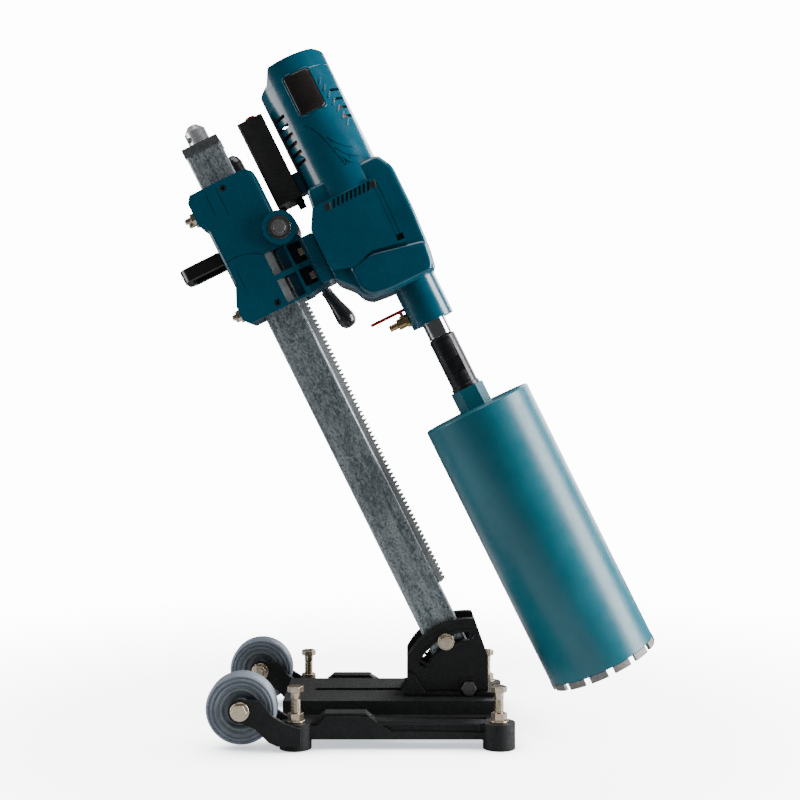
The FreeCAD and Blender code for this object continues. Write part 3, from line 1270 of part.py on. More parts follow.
def make_control_box():
    """Switch box beside the motor, its bracket, its glands and its red stop button."""
    x, z = (D.box_back, D.box_front), (D.box_bottom, D.box_top)
    body = new_body("ControlBox")
    pad(body, "XY", z, rectangle(x, (-D.box_half, D.box_half)))
    soften(body, 4, lambda edge: along(edge, (0, 0, 1)))
    wall = D.box_wall
    room = rectangle((x[0] + wall, x[1] - wall), (wall - D.box_half, D.box_half - wall))
    pocket(body, "XY", (z[0] + wall, z[1] - wall), room)
    button = (D.button_x, 0)
    rim = rod("z", button, (D.box_top - 1, D.box_top + D.collar_rise), D.button_collar)
    way = rod("z", button, (D.box_top - 5, D.box_top + D.collar_rise + 1), D.button_radius + D.side_fit)
    glands, ports = [], []
    for spot, radius, drop in ((D.box_front - 5.5, 6, 12), (D.box_back + 6, 4, 7)):
        glands.append(
            fuse(
                rod("z", (spot, 0), (D.box_bottom - drop, D.box_bottom), radius - 0.8),
                hexagon("z", (spot, 0), (D.box_bottom - 4, D.box_bottom), radius * 1.75),
                rod("z", (spot, 0), (D.box_bottom - 1, D.box_bottom + 6), radius - 2),
            )
        )
        ports.append(rod("z", (spot, 0), (D.box_bottom - 1, D.box_bottom + 7), radius - 2 + D.loose_fit))
    piece("control_box", cut(fuse(body, rim), way, *ports), COLUMN)
    piece("cable_glands", group(*glands), COLUMN)
    cap = fuse(
        rod("z", button, (D.box_top - 4, D.box_top + D.button_rise), D.button_radius),
        rod("z", button, (D.box_top - 7, D.box_top - 3.5), D.button_radius + 3),
    )
    piece("stop_button", group(cap), COLUMN)
    block_in = block((D.box_front, D.motor_x - 40), (-14, 14), (D.case_top + 2, D.case_top + 32))
    shell = rod("z", (D.motor_x, 0), (D.case_top, D.case_top + 40), D.motor_radius)
    piece("box_bracket", cut(block_in, shell), COLUMN)


def check_and_export():
    """Stop if anything in the document failed, then write one file for each piece."""
    DOC.recompute()
    for item in DOC.Objects:
        if "Invalid" in item.State or "Error" in item.State:
            raise RuntimeError(f"{item.Name} ({item.Label}) failed: {item.State}")
    for name, item in PIECES.items():
        if item.Shape.isNull() or not item.Shape.isValid() or not item.Shape.Solids:
            raise RuntimeError(f"{name} has no valid solid")
    os.makedirs("parts", exist_ok=True)
    for name, item in PIECES.items():
        item.Shape.exportStep(f"parts/{name}.step")
    print(len(PIECES), "pieces written")


make_base_casting()
make_feet_and_axles()
make_wheels()
make_hinge_bracket()
make_bracket_bolts()
make_column()
make_rack()
make_column_top()
make_clamp()
make_carriage_housing()
make_slides()
make_bow_handle()
make_feed()
make_mount_plate()
make_gear_housing()
make_bearing_plate()
make_bearings()
make_motor()
make_gears()
make_collar()
make_adapter()
make_core_bit()
make_valve()
make_control_box()
check_and_export()
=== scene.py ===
import json
import math

import bmesh
import bpy
from mathutils import Matrix, Vector


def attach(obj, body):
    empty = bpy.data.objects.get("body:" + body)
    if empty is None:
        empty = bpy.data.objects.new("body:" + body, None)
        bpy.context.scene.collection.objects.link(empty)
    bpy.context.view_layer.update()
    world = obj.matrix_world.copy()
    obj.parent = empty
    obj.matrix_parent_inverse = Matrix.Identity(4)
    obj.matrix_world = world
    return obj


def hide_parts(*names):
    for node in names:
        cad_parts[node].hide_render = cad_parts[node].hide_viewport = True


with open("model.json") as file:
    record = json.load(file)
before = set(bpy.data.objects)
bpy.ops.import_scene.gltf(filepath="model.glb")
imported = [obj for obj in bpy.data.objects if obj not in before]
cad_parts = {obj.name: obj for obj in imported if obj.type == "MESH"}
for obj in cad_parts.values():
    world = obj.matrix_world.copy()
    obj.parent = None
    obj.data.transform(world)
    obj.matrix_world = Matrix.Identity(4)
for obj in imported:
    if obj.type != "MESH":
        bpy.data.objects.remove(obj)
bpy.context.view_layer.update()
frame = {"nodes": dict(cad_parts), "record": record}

MM = 0.001
TILT = math.radians(26.4)
PIVOT_X, PIVOT_Z = 95, 58
COLUMN = Matrix.Translation((PIVOT_X * MM, 0, PIVOT_Z * MM)) @ Matrix.Rotation(-TILT, 4, "Y")
FLOOR = Matrix.Identity(4)
SIDES = {"near": -1, "far": 1}
MOTOR_X, MOTOR_RADIUS = 152.5, 52
CASE_FACE, CARRIAGE_FACE, CHEEK_FACE, RAIL_FACE = 50, 36, 37.5, 126
BODY_OF = {n: b for b, ns in frame["record"]["behaviour"]["bodies"].items() for n in ns}
SLOT_OF = {s["node"]: s["material_slot"] for s in frame["record"]["subparts"]}


# ---------------------------------------------------------------- materials

class Nodes:
    """A small wrapper that adds nodes to one material."""

    def __init__(self, name):
        self.material = bpy.data.materials.new(name)
        self.material.use_nodes = True
        self.tree = self.material.node_tree
        self.shader = self.tree.nodes["Principled BSDF"]
        self.place = self.add("TexCoord").outputs["Object"]

    def add(self, kind, **values):
        node = self.tree.nodes.new(f"ShaderNode{kind}")
        for key, value in values.items():
            setattr(node, key, value)
        return node

    def link(self, source, target):
        self.tree.links.new(source, target)

    def stretched(self, scale):
        """Object coordinates scaled unevenly, for grain that runs one way."""
        mapping = self.add("Mapping")
        mapping.inputs["Scale"].default_value = scale
        self.link(self.place, mapping.inputs["Vector"])
        return mapping.outputs["Vector"]

    def noise(self, scale, detail=3.0, roughness=0.55, distortion=0.0, place=None):
        node = self.add("TexNoise")
        node.inputs["Scale"].default_value = scale
        node.inputs["Detail"].default_value = detail
        node.inputs["Roughness"].default_value = roughness
        node.inputs["Distortion"].default_value = distortion
        self.link(place or self.place, node.inputs["Vector"])
        return node.outputs["Fac"]

    def cells(self, scale, place=None, output="Color"):
        node = self.add("TexVoronoi")
        node.inputs["Scale"].default_value = scale
        self.link(place or self.place, node.inputs["Vector"])
        return node.outputs[output]

    def ramp(self, source, stops):
        node = self.add("ValToRGB")
        while len(node.color_ramp.elements) < len(stops):
            node.color_ramp.elements.new(0.5)
        for element, (spot, colour) in zip(node.color_ramp.elements, stops):
            element.position = spot
            element.color = (*colour, 1) if len(colour) == 3 else colour
        self.link(source, node.inputs["Fac"])
        return node.outputs["Color"]

    def spread(self, source, low, high, start=0.3, end=0.7):
        node = self.add("MapRange")
        node.inputs["From Min"].default_value = start
        node.inputs["From Max"].default_value = end
        node.inputs["To Min"].default_value = low
        node.inputs["To Max"].default_value = high
        self.link(source, node.inputs["Value"])
        return node.outputs["Result"]

    def mix(self, factor, first, second, kind="MIX"):
        node = self.add("Mix", data_type="RGBA", blend_type=kind)
        if isinstance(factor, float):
            node.inputs["Factor"].default_value = factor
        else:
            self.link(factor, node.inputs["Factor"])
        for name, value in (("A", first), ("B", second)):
            socket = [s for s in node.inputs if s.name == name and s.type == "RGBA"][0]
            if isinstance(value, tuple):
                socket.default_value = (*value, 1)
            else:
                self.link(value, socket)
        return [s for s in node.outputs if s.type == "RGBA"][0]

    def painted_corner_shade(self, distance, colour_in, shade_colour, amount=0.7):
        """Painted shade: darken the colour where ambient occlusion finds deep corners."""
        node = self.add("AmbientOcclusion", samples=6)
        node.inputs["Distance"].default_value = distance
        shade = self.spread(node.outputs["AO"], amount, 0.0, 0.25, 0.85)
        return self.mix(shade, colour_in, shade_colour)

    def bumps(self, *layers):
        """Stack height textures: each is a source and the height of its relief in metres."""
        before = None
        for source, height in layers:
            node = self.add("Bump")
            node.inputs["Strength"].default_value = 1.0
            node.inputs["Distance"].default_value = height
            self.link(source, node.inputs["Height"])
            if before is not None:
                self.link(before, node.inputs["Normal"])
            before = node.outputs["Normal"]
        self.link(before, self.shader.inputs["Normal"])

    def set(self, **values):
        for name, value in values.items():
            socket = self.shader.inputs[name.replace("_", " ")]
            if hasattr(value, "is_output"):
                self.link(value, socket)
            elif isinstance(value, tuple):
                socket.default_value = (*value, 1)
            else:
                socket.default_value = value


def enamel(name, base, deep, gloss=(0.2, 0.34), coat=0.35, peel=0.00003, dust=(0.10, 0.12, 0.13)):
    """Sprayed enamel on a casting: slow colour drift, orange peel, painted shade in the corners and fine
    specks.
    """
    n = Nodes(name)
    drift = n.ramp(n.noise(14, 3), [(0.35, deep), (0.68, base)])
    specks = n.spread(n.noise(1500, 2, 0.6), 0.0, 0.3, 0.70, 0.78)
    colour = n.mix(specks, drift, tuple(min(1, c * 1.25) for c in base))
    # Painted shade: ambient occlusion darkens corners to 0.4 of the base colour, with a faint tint of the
    # dust colour.
    colour = n.painted_corner_shade(0.006, colour, tuple(c * 0.4 + d * 0.03 for c, d in zip(base, dust)), 0.6)
    rough = n.spread(n.noise(45, 5, 0.6), *gloss)
    n.set(Base_Color=colour, Roughness=rough, Metallic=0.0)
    n.set(Coat_Weight=coat, Coat_Roughness=0.12)
    n.bumps((n.noise(60, 2), peel * 3), (n.noise(1500, 2), peel))
    return n.material


def cast_black(name, base, top, grain=0.00025, rough=(0.5, 0.72)):
    """Coarse black coating on cast iron: pitted grain, scuffed paler patches, pale grit specks and painted
    shade in the corners.
    """
    n = Nodes(name)
    patches = n.ramp(n.noise(30, 5, 0.62), [(0.35, base), (0.7, top)])
    grit = n.spread(n.noise(1400, 2, 0.6), 0.0, 0.6, 0.62, 0.76)
    colour = n.mix(grit, patches, tuple(c * 2.2 for c in top))
    # Painted shade: ambient occlusion darkens corners to 0.4 of the base colour.
    colour = n.painted_corner_shade(0.012, colour, tuple(c * 0.4 for c in base), 0.7)
    n.set(Base_Color=colour, Roughness=n.spread(n.noise(160, 4), *rough), Metallic=0.0)
    n.set(Specular_IOR_Level=0.35)
    n.bumps((n.noise(260, 4, 0.6), grain * 1.6), (n.noise(900, 3, 0.65), grain))
    return n.material


def plated(name, base, tint, rough=(0.2, 0.38), grain=(60, 60, 60), bump=0.00002, metal=0.8):
    """Plated or machined steel: a passivation tint that drifts, tool grain and small stains."""
    n = Nodes(name)
    colour = n.ramp(n.noise(95, 4, 0.6, 0.8), [(0.3, tint), (0.62, base)])
    stain = n.spread(n.noise(420, 3, 0.65), 0.0, 0.55, 0.6, 0.78)
    colour = n.mix(stain, colour, tuple(c * 0.45 for c in base))
    # Painted shade: ambient occlusion darkens corners to 0.25 of the base colour.
    colour = n.painted_corner_shade(0.003, colour, tuple(c * 0.25 for c in base), 0.7)
    fine = n.noise(8, 3, 0.6, 0.0, n.stretched(grain))
    n.set(Base_Color=colour, Metallic=metal, Roughness=n.spread(fine, *rough))
    n.bumps((fine, bump), (n.noise(700, 2), bump * 0.6))
    return n.material


def galvanised(name):
    """Hot-dip galvanised tube: fine spangle, dull streaks down its length, specks and handling marks."""
    n = Nodes(name)
    crystals = n.add("SeparateColor")
    n.link(n.cells(420, n.stretched((1.0, 1.0, 0.4))), crystals.inputs["Color"])
    spangle = n.ramp(crystals.outputs["Red"], [(0.1, (0.17, 0.21, 0.23)), (0.9, (0.42, 0.48, 0.51))])
    streaks = n.spread(n.noise(70, 6, 0.7, 0.4, n.stretched((1.0, 1.0, 0.10))), 0.0, 0.85, 0.45, 0.66)
    colour = n.mix(streaks, spangle, (0.62, 0.68, 0.70))
    flecks = n.spread(n.noise(650, 4, 0.75, 0.0, n.stretched((1.0, 1.0, 0.5))), 0.0, 0.9, 0.50, 0.62)
    colour = n.mix(flecks, colour, (0.035, 0.05, 0.06))
    drift = n.spread(n.noise(12, 4, 0.6), 0.0, 0.35, 0.4, 0.7)
    colour = n.mix(drift, colour, (0.16, 0.20, 0.22))
    rough = n.spread(n.noise(90, 4, 0.6), 0.26, 0.46)
    n.set(Base_Color=colour, Metallic=0.5, Roughness=rough)
    n.bumps((n.noise(210, 4, 0.6), 0.0001), (n.noise(900, 2, 0.6), 0.00004))
    return n.material


def plastic(name, base, rough=(0.4, 0.55), grain=0.00003, scale=1600, coat=0.0):
    """Moulded plastic: fine mould texture, faint wipe marks."""
    n = Nodes(name)
    dark, light = (tuple(c * share for c in base) for share in (0.8, 1.15))
    colour = n.ramp(n.noise(40, 4, 0.6), [(0.3, dark), (0.7, light)])
    # Painted shade: ambient occlusion darkens corners to half the base colour.
    colour = n.painted_corner_shade(0.004, colour, tuple(c * 0.5 for c in base), 0.6)
    n.set(Base_Color=colour, Roughness=n.spread(n.noise(70, 5, 0.65), *rough), Metallic=0.0)
    n.set(Coat_Weight=coat, Coat_Roughness=0.1)
    n.bumps((n.noise(scale, 2, 0.6), grain), (n.noise(160, 3), grain * 1.5))
    return n.material


def rubber_blue(name):
    """Blue-grey moulded polyurethane, slightly translucent, with scuffs round the tread."""
    n = Nodes(name)
    colour = n.ramp(n.noise(55, 5, 0.6), [(0.3, (0.17, 0.20, 0.25)), (0.7, (0.24, 0.28, 0.34))])
    scuff = n.spread(n.noise(330, 4, 0.7), 0.0, 0.45, 0.58, 0.72)
    colour = n.mix(scuff, colour, (0.30, 0.32, 0.35))
    # Painted shade: ambient occlusion darkens corners towards a dark blue-grey.
    colour = n.painted_corner_shade(0.006, colour, (0.05, 0.06, 0.075), 0.7)
    n.set(Base_Color=colour, Roughness=n.spread(n.noise(120, 4), 0.34, 0.5), Metallic=0.0)
    n.bumps((n.noise(500, 3), 0.00004), (n.noise(60, 3), 0.0001))
    return n.material


def bit_paint(name):
    """Satin paint over a rolled tube: faint drawn lines, slow drift, tiny dust nibs."""
    n = Nodes(name)
    drift = n.ramp(n.noise(9, 4, 0.6), [(0.3, (0.0045, 0.112, 0.158)), (0.72, (0.007, 0.150, 0.205))])
    nibs = n.spread(n.noise(650, 2, 0.6), 0.0, 0.35, 0.68, 0.76)
    colour = n.mix(nibs, drift, (0.03, 0.26, 0.33))
    lines = n.noise(5, 4, 0.6, 0.0, n.stretched((30, 30, 1.2)))
    n.set(Base_Color=colour, Metallic=0.0, Roughness=n.spread(n.noise(60, 5, 0.6), 0.30, 0.42))
    n.set(Coat_Weight=0.12, Coat_Roughness=0.25)
    n.bumps((lines, 0.00006), (n.noise(1100, 2), 0.00002))
    return n.material


def sintered(name):
    """Sintered metal with diamond grit."""
    n = Nodes(name)
    grit = n.cells(1500, output="Distance")
    colour = n.ramp(grit, [(0.1, (0.50, 0.49, 0.46)), (0.6, (0.16, 0.16, 0.155))])
    n.set(Base_Color=colour, Metallic=0.7, Roughness=n.spread(n.noise(500, 3), 0.45, 0.7))
    n.bumps((grit, 0.0002), (n.noise(700, 3), 0.0001))
    return n.material


def windings(name):
    """Varnished copper and stacked sheets."""
    n = Nodes(name)
    layers = n.noise(6, 2, 0.5, 0.0, n.stretched((4, 4, 160)))
    colour = n.ramp(layers, [(0.4, (0.07, 0.045, 0.03)), (0.6, (0.30, 0.13, 0.06))])
    n.set(Base_Color=colour, Metallic=0.6, Roughness=n.spread(n.noise(90, 3), 0.35, 0.55))
    n.bumps((layers, 0.0002), (n.noise(400, 2), 0.00005))
    return n.material


TEAL = (0.0014, 0.086, 0.138)
DEEP_TEAL = (0.001, 0.068, 0.112)
MATERIALS = {
    "black_iron": cast_black("black_iron", (0.0045, 0.005, 0.0055), (0.010, 0.011, 0.0125)),
    "bracket_iron": cast_black(
        "bracket_iron", (0.0035, 0.004, 0.0045), (0.008, 0.0085, 0.0095), 0.00014, (0.36, 0.52)
    ),
    "zinc_yellow": plated(
        "zinc_yellow", (0.66, 0.60, 0.46), (0.64, 0.46, 0.36), (0.16, 0.30), (60, 60, 60), 0.00002, 0.9
    ),
    "zinc_dark": plated("zinc_dark", (0.10, 0.10, 0.105), (0.07, 0.07, 0.075), (0.3, 0.5)),
    "teal_paint": enamel("teal_paint", TEAL, DEEP_TEAL),
    "teal_drill": enamel("teal_drill", (0.0014, 0.092, 0.148), DEEP_TEAL, (0.17, 0.30), 0.5),
    "tyre_rubber": rubber_blue("tyre_rubber"),
    "hub_plastic": plastic("hub_plastic", (0.19, 0.225, 0.25), (0.30, 0.42)),
    "galvanised": galvanised("galvanised"),
    "bare_iron": plated(
        "bare_iron", (0.20, 0.21, 0.22), (0.12, 0.125, 0.13), (0.4, 0.6), (60, 60, 60), 0.0001
    ),
    "rack_steel": plated(
        "rack_steel", (0.78, 0.80, 0.81), (0.66, 0.68, 0.69), (0.2, 0.34), (1, 90, 1), 0.00002, 0.6
    ),
    "bright_steel": plated(
        "bright_steel", (0.78, 0.80, 0.82), (0.62, 0.64, 0.66), (0.2, 0.34), (1, 1, 120), 0.00002, 0.6
    ),
    "slide_plastic": plastic("slide_plastic", (0.72, 0.72, 0.70)),
    "black_gloss": plastic("black_gloss", (0.010, 0.010, 0.011), (0.14, 0.26), 0.00002, 900, 0.4),
    "grip_plastic": plastic("grip_plastic", (0.010, 0.010, 0.011), (0.16, 0.3), 0.00002, 900, 0.3),
    "bearing_steel": plated("bearing_steel", (0.60, 0.60, 0.61), (0.50, 0.50, 0.51), (0.15, 0.28)),
    "cover_plastic": plastic("cover_plastic", (0.016, 0.013, 0.012), (0.16, 0.28), 0.00002, 1200, 0.3),
    "carbon": plastic("carbon", (0.02, 0.02, 0.02), (0.5, 0.7)),
    "laminations": windings("laminations"),
    "fan_plastic": plastic("fan_plastic", (0.02, 0.02, 0.02)),
    "gear_steel": plated("gear_steel", (0.42, 0.42, 0.43), (0.30, 0.30, 0.31), (0.22, 0.36), (1, 1, 90)),
    "chrome": plated(
        "chrome", (0.74, 0.75, 0.76), (0.66, 0.67, 0.68), (0.06, 0.16), (1, 1, 90), 0.000006, 1.0
    ),
    "collar_alloy": plated("collar_alloy", (0.40, 0.41, 0.42), (0.32, 0.33, 0.34), (0.35, 0.5)),
    "seal_rubber": plastic("seal_rubber", (0.015, 0.015, 0.015), (0.6, 0.75)),
    "adapter_black": plated(
        "adapter_black", (0.055, 0.055, 0.06), (0.03, 0.03, 0.033), (0.22, 0.4), (1, 1, 140)
    ),
    "bit_paint": bit_paint("bit_paint"),
    "segment_metal": sintered("segment_metal"),
    "valve_brass": plated("valve_brass", (0.62, 0.45, 0.20), (0.45, 0.30, 0.13), (0.22, 0.4)),
    "lever_red": plastic("lever_red", (0.55, 0.012, 0.02), (0.22, 0.34), 0.00003, 500, 0.3),
    "box_plastic": plastic("box_plastic", (0.012, 0.012, 0.013), (0.42, 0.6), 0.00006, 1100),
    "gland_nylon": plastic("gland_nylon", (0.014, 0.014, 0.014), (0.35, 0.5)),
    "button_red": plastic("button_red", (0.50, 0.006, 0.012), (0.18, 0.3), 0.00002, 900, 0.4),
}


# ---------------------------------------------------------------- pieces

def finish_mesh(mesh, angle=32):
    """Shade smooth, with the corners kept sharp."""
    mesh.polygons.foreach_set("use_smooth", [True] * len(mesh.polygons))
    mesh.set_sharp_from_angle(angle=math.radians(angle))


def soften(piece, width, segments=2, angle=34):
    """Round every corner a little, as casting, paint or deburring does."""
    bevel = piece.modifiers.new("edges", "BEVEL")
    bevel.width = width
    bevel.segments = segments
    bevel.limit_method = "ANGLE"
    bevel.angle_limit = math.radians(angle)
    bevel.use_clamp_overlap = True
    bevel.harden_normals = False
    bevel.miter_outer = "MITER_ARC"
    weighted = piece.modifiers.new("normals", "WEIGHTED_NORMAL")
    weighted.keep_sharp = True
    weighted.weight = 60


def clean_copy(node, place=COLUMN):
    """The node's own surface with doubled points merged and flat faces joined, in its frame."""
    mesh = frame["nodes"][node].data.copy()
    mesh.transform(place.inverted())
    work = bmesh.new()
    work.from_mesh(mesh)
    bmesh.ops.remove_doubles(work, verts=work.verts, dist=2e-6)
    bmesh.ops.dissolve_limit(
        work, angle_limit=math.radians(0.6), verts=work.verts, edges=work.edges, delimit={"NORMAL"}
    )
    work.to_mesh(mesh)
    work.free()
    for name in [a.name for a in mesh.attributes if a.name == "custom_normal"]:
        mesh.attributes.remove(mesh.attributes[name])
    return mesh


def add_piece(name, mesh, body, slot, place=COLUMN, stands_for=(), edge=0.0, segments=2, smooth=32):
    """Link a mesh as a piece that rides on a body, with its finish."""
    mesh.name = name
    finish_mesh(mesh, smooth)
    piece = bpy.data.objects.new(name, mesh)
    bpy.context.scene.collection.objects.link(piece)
    piece.matrix_world = place
    mesh.materials.clear()
    mesh.materials.append(MATERIALS[slot])
    if edge:
        soften(piece, edge, segments)
    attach(piece, body)
    if stands_for:
        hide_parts(*stands_for)


def dress(node, edge=0.0006, place=COLUMN, segments=2):
    """Show a node by its own shape with softened edges."""
    mesh = clean_copy(node, place)
    add_piece(f"{node}_skin", mesh, BODY_OF[node], SLOT_OF[node], place, (node,), edge, segments)


def lathe(name, profile, body, slot, place, stands_for=(), steps=128, closed=True, smooth=32):
    """Turn a profile of radius and height, in metres, about the place's own z."""
    work = bmesh.new()
    rings = []
    around = [2 * math.pi * k / steps for k in range(steps)]
    for radius, height in profile:
        if radius < 1e-7:
            rings.append([work.verts.new((0, 0, height))])
            continue
        rings.append([work.verts.new((radius * math.cos(a), radius * math.sin(a), height)) for a in around])
    pairs = list(zip(rings, rings[1:]))
    if closed:
        pairs.append((rings[-1], rings[0]))
    for low, high in pairs:
        if len(low) == 1 and len(high) == 1:
            continue
        for k in range(steps):
            after = (k + 1) % steps
            if len(low) == 1:
                work.faces.new((low[0], high[after], high[k]))
            elif len(high) == 1:
                work.faces.new((low[k], low[after], high[0]))
            else:
                work.faces.new((low[k], low[after], high[after], high[k]))
    bmesh.ops.recalc_face_normals(work, faces=work.faces)
    mesh = bpy.data.meshes.new(name)
    work.to_mesh(mesh)
    work.free()
    add_piece(name, mesh, body, slot, place, stands_for, smooth=smooth)


def metres(profile):
    """A profile given in millimetres, in metres."""
    return [(radius * MM, height * MM) for radius, height in profile]


def at_column(p, y, w, turn=None):
    """A frame at a place of the column frame, given in millimetres."""
    return COLUMN @ Matrix.Translation((p * MM, y * MM, w * MM)) @ (turn or Matrix.Identity(4))


def at_floor(x, y, z, turn=None):
    """A frame at a place above the floor, given in millimetres."""
    return Matrix.Translation((x * MM, y * MM, z * MM)) @ (turn or Matrix.Identity(4))


def facing(side):
    """Turn a lathe's axis outwards on the near or the far side."""
    return Matrix.Rotation(math.radians(-90 * side), 4, "X")


def round_corners(points, radius, steps=5):
    """Round the corners of a closed outline or profile."""
    result = []
    for k, spot in enumerate(points):
        here, before, after = Vector(spot), Vector(points[k - 1]), Vector(points[(k + 1) % len(points)])
        reach = min(radius, (before - here).length * 0.45, (after - here).length * 0.45)
        start = here + (before - here).normalized() * reach
        end = here + (after - here).normalized() * reach
        for step in range(steps + 1):
            t = step / steps
            result.append(tuple(start * (1 - t) ** 2 + here * 2 * t * (1 - t) + end * t ** 2))
    return result


def prism_mesh(outline, low, high):
    """A closed outline of x and z in millimetres, extruded along y."""
    work = bmesh.new()
    near = [work.verts.new((x * MM, low * MM, z * MM)) for x, z in outline]
    far = [work.verts.new((x * MM, high * MM, z * MM)) for x, z in outline]
    work.faces.new(near)
    work.faces.new(list(reversed(far)))
    count = len(outline)
    for k in range(count):
        work.faces.new((near[k], far[k], far[(k + 1) % count], near[(k + 1) % count]))
    bmesh.ops.recalc_face_normals(work, faces=work.faces)
    mesh = bpy.data.meshes.new("prism")
    work.to_mesh(mesh)
    work.free()
    return mesh


def slab(outline, side, inner, outer):
    """A prism between two distances from the middle plane, on the near or the far side."""
    return prism_mesh(outline, *sorted((side * inner, side * outer)))


def carve(mesh, tools):
    """Take closed meshes out of a mesh."""
    holder = bpy.data.objects.new("work", mesh)
    bpy.context.scene.collection.objects.link(holder)
    helpers = []
    for tool in tools:
        helper = bpy.data.objects.new("tool", tool)
        bpy.context.scene.collection.objects.link(helper)
        helpers.append(helper)
        step = holder.modifiers.new("cut", "BOOLEAN")
        step.operation = "DIFFERENCE"
        step.solver = "EXACT"
        step.use_self = True
        step.object = helper
    depsgraph = bpy.context.evaluated_depsgraph_get()
    result = bpy.data.meshes.new_from_object(holder.evaluated_get(depsgraph))
    for helper in helpers + [holder]:
        bpy.data.objects.remove(helper)
    return result


def flat(face):
    """Points on a flat side wall at one y."""
    side = -1 if face < 0 else 1
    return lambda x, z: (Vector((x, face, z)), Vector((0, side, 0)))


def drum(centre, radius, side):
    """Points on a drum that stands along z, on its near or far side."""
    def place(x, z):
        across = max(-0.999, min(0.999, (x - centre) / radius))
        out = Vector((across, side * math.sqrt(1 - across ** 2), 0))
        return Vector((centre, 0, z)) + out * radius, out
    return place


def ribbon(path, surface, width, low, high, closed=False):
    """A strip that follows a path over a surface, from one height above it to another."""
    spots = [surface(*spot) for spot in path]
    work = bmesh.new()
    rings = []
    count = len(spots)
    for k, (point, out) in enumerate(spots):
        before = spots[k - 1][0] if closed or k else point
        after = spots[(k + 1) % count][0] if closed or k + 1 < count else point
        along = (after - before).normalized()
        across = along.cross(out).normalized() * (width / 2)
        corners = (point + across + out * high, point - across + out * high, point - across + out * low,
                   point + across + out * low)
        rings.append([work.verts.new(c * MM) for c in corners])
    pairs = list(zip(rings, rings[1:]))
    if closed:
        pairs.append((rings[-1], rings[0]))
    else:
        work.faces.new(rings[0])
        work.faces.new(list(reversed(rings[-1])))
    for first, second in pairs:
        for c in range(4):
            work.faces.new((first[c], second[c], second[(c + 1) % 4], first[(c + 1) % 4]))
    bmesh.ops.recalc_face_normals(work, faces=work.faces)
    mesh = bpy.data.meshes.new("ribbon")
    work.to_mesh(mesh)
    work.free()
    return mesh


def curve(points, steps=8):
    """A smooth path through a few points."""
    ends = [points[0]] + list(points) + [points[-1]]
    path = []
    for k in range(1, len(ends) - 2):
        a, b, c, d = (Vector(ends[k + j]) for j in (-1, 0, 1, 2))
        bend = 2 * a - 5 * b + 4 * c - d
        swing = 3 * b - a - 3 * c + d
        for step in range(steps):
            t = step / steps
            path.append(tuple(0.5 * (2 * b + (c - a) * t + bend * t * t + swing * t ** 3)))
    return path + [tuple(points[-1])]


Y_AXIS = Matrix.Rotation(math.radians(-90), 4, "X")

PLAIN = {
    0.0012: ["base_casting", "hinge_bracket"],
    0.0005: ["m12_nuts", "m12_washers", "axle_bolts", "bracket_bolts", "pivot_bolt"],
}
for edge, nodes in PLAIN.items():
    for node in nodes:
        dress(node, edge, FLOOR)
LEANING = {
    0.0010: ["mount_plate", "end_cap", "control_box", "bow_handle"],
    0.0005: [
        "top_cap", "column_foot", "clamp_bolt", "clamp_nut", "jack_screw", "adjuster_screws", "adjuster_nuts",
        "mount_bolts", "valve_body", "valve_lever", "stop_button", "cable_glands", "box_bracket",
        "water_collar", "adapter", "spindle", "feed_crossbar", "feed_grips", "pinion_bearings", "rack_screws",
        "pad_screws",
    ],
}
for edge, nodes in LEANING.items():
    for node in nodes:
        dress(node, edge, COLUMN)
dress("column_tube", 0.0004)
dress("rack", 0.0002, segments=1)
dress("pinion_shaft", 0.0003, segments=1)
dress("core_bit", 0.0006)
dress("bit_segments", 0.0004)
TREAD = [
    (30.0, 13.8), (31.5, 14.8), (33.4, 15.2), (34.0, 13.9), (35.6, 13.9), (36.2, 15.4), (38.6, 15.8),
    (39.2, 14.6), (40.4, 14.6), (41.0, 15.6), (42.6, 14.9), (44.4, 12.2), (45.0, 9.0),
]
HUB = [
    (6.0, 15.4), (13.4, 15.4), (14.2, 14.6), (14.4, 9.0), (16.4, 7.4), (21.4, 7.0), (23.0, 8.6), (23.6, 13.4),
    (24.6, 13.9), (26.6, 13.9), (27.0, 12.9), (28.2, 12.9), (28.6, 13.8), (29.97, 13.8),
]


def make_wheels():
    """Moulded treads and ribbed hubs, each half a profile and its mirror."""
    for name, side in SIDES.items():
        place = at_floor(-197, 120.6 * side, 51.7, Y_AXIS)
        for node, half in ((f"tyre_{name}", TREAD), (f"wheel_hub_{name}", HUB)):
            profile = half + [(radius, -height) for radius, height in reversed(half)]
            profile = round_corners(metres(profile), 0.0005, 2)
            lathe(f"{node}_skin", profile, f"wheel_{name}", SLOT_OF[node], place, (node,))


def make_case_panel(name, side):
    """The raised panel on one side, with its vent slots, two grooves and a screw's recess."""
    outline = [
        (83, 638), (97, 663), (190, 665), (194, 650), (192, 600), (191, 568), (142, 578), (112, 568),
        (84, 578),
    ]
    above = CASE_FACE + 2
    tools = []
    for index in range(9):
        x = 124.5 + index * 6.3
        slant = [(x - 2.6, 650.5), (x + 0.6, 650.5), (x + 5.4, 661.5), (x + 2.2, 661.5)]
        tools.append(slab(slant, side, 45.2, above))
    wall = flat(side * CASE_FACE)
    groove = [(187, 660), (188.5, 640), (187.2, 600), (186.3, 574)]
    tools.append(ribbon(curve(groove), wall, 1.3, -1.0, 1.5))
    tools.append(ribbon(curve([(x - 6, z - 1) for x, z in groove]), wall, 0.9, -0.8, 1.5))
    hole = [(179, 573.5), (189.5, 573), (190.5, 581.5), (180, 582)]
    tools.append(slab(hole, side, 46, above))
    plate = carve(slab(round_corners(outline, 5), side, 40, CASE_FACE), tools)
    add_piece(f"gear_case_panel_{name}", plate, "carriage", "teal_drill", COLUMN, (), 0.0012, 3)


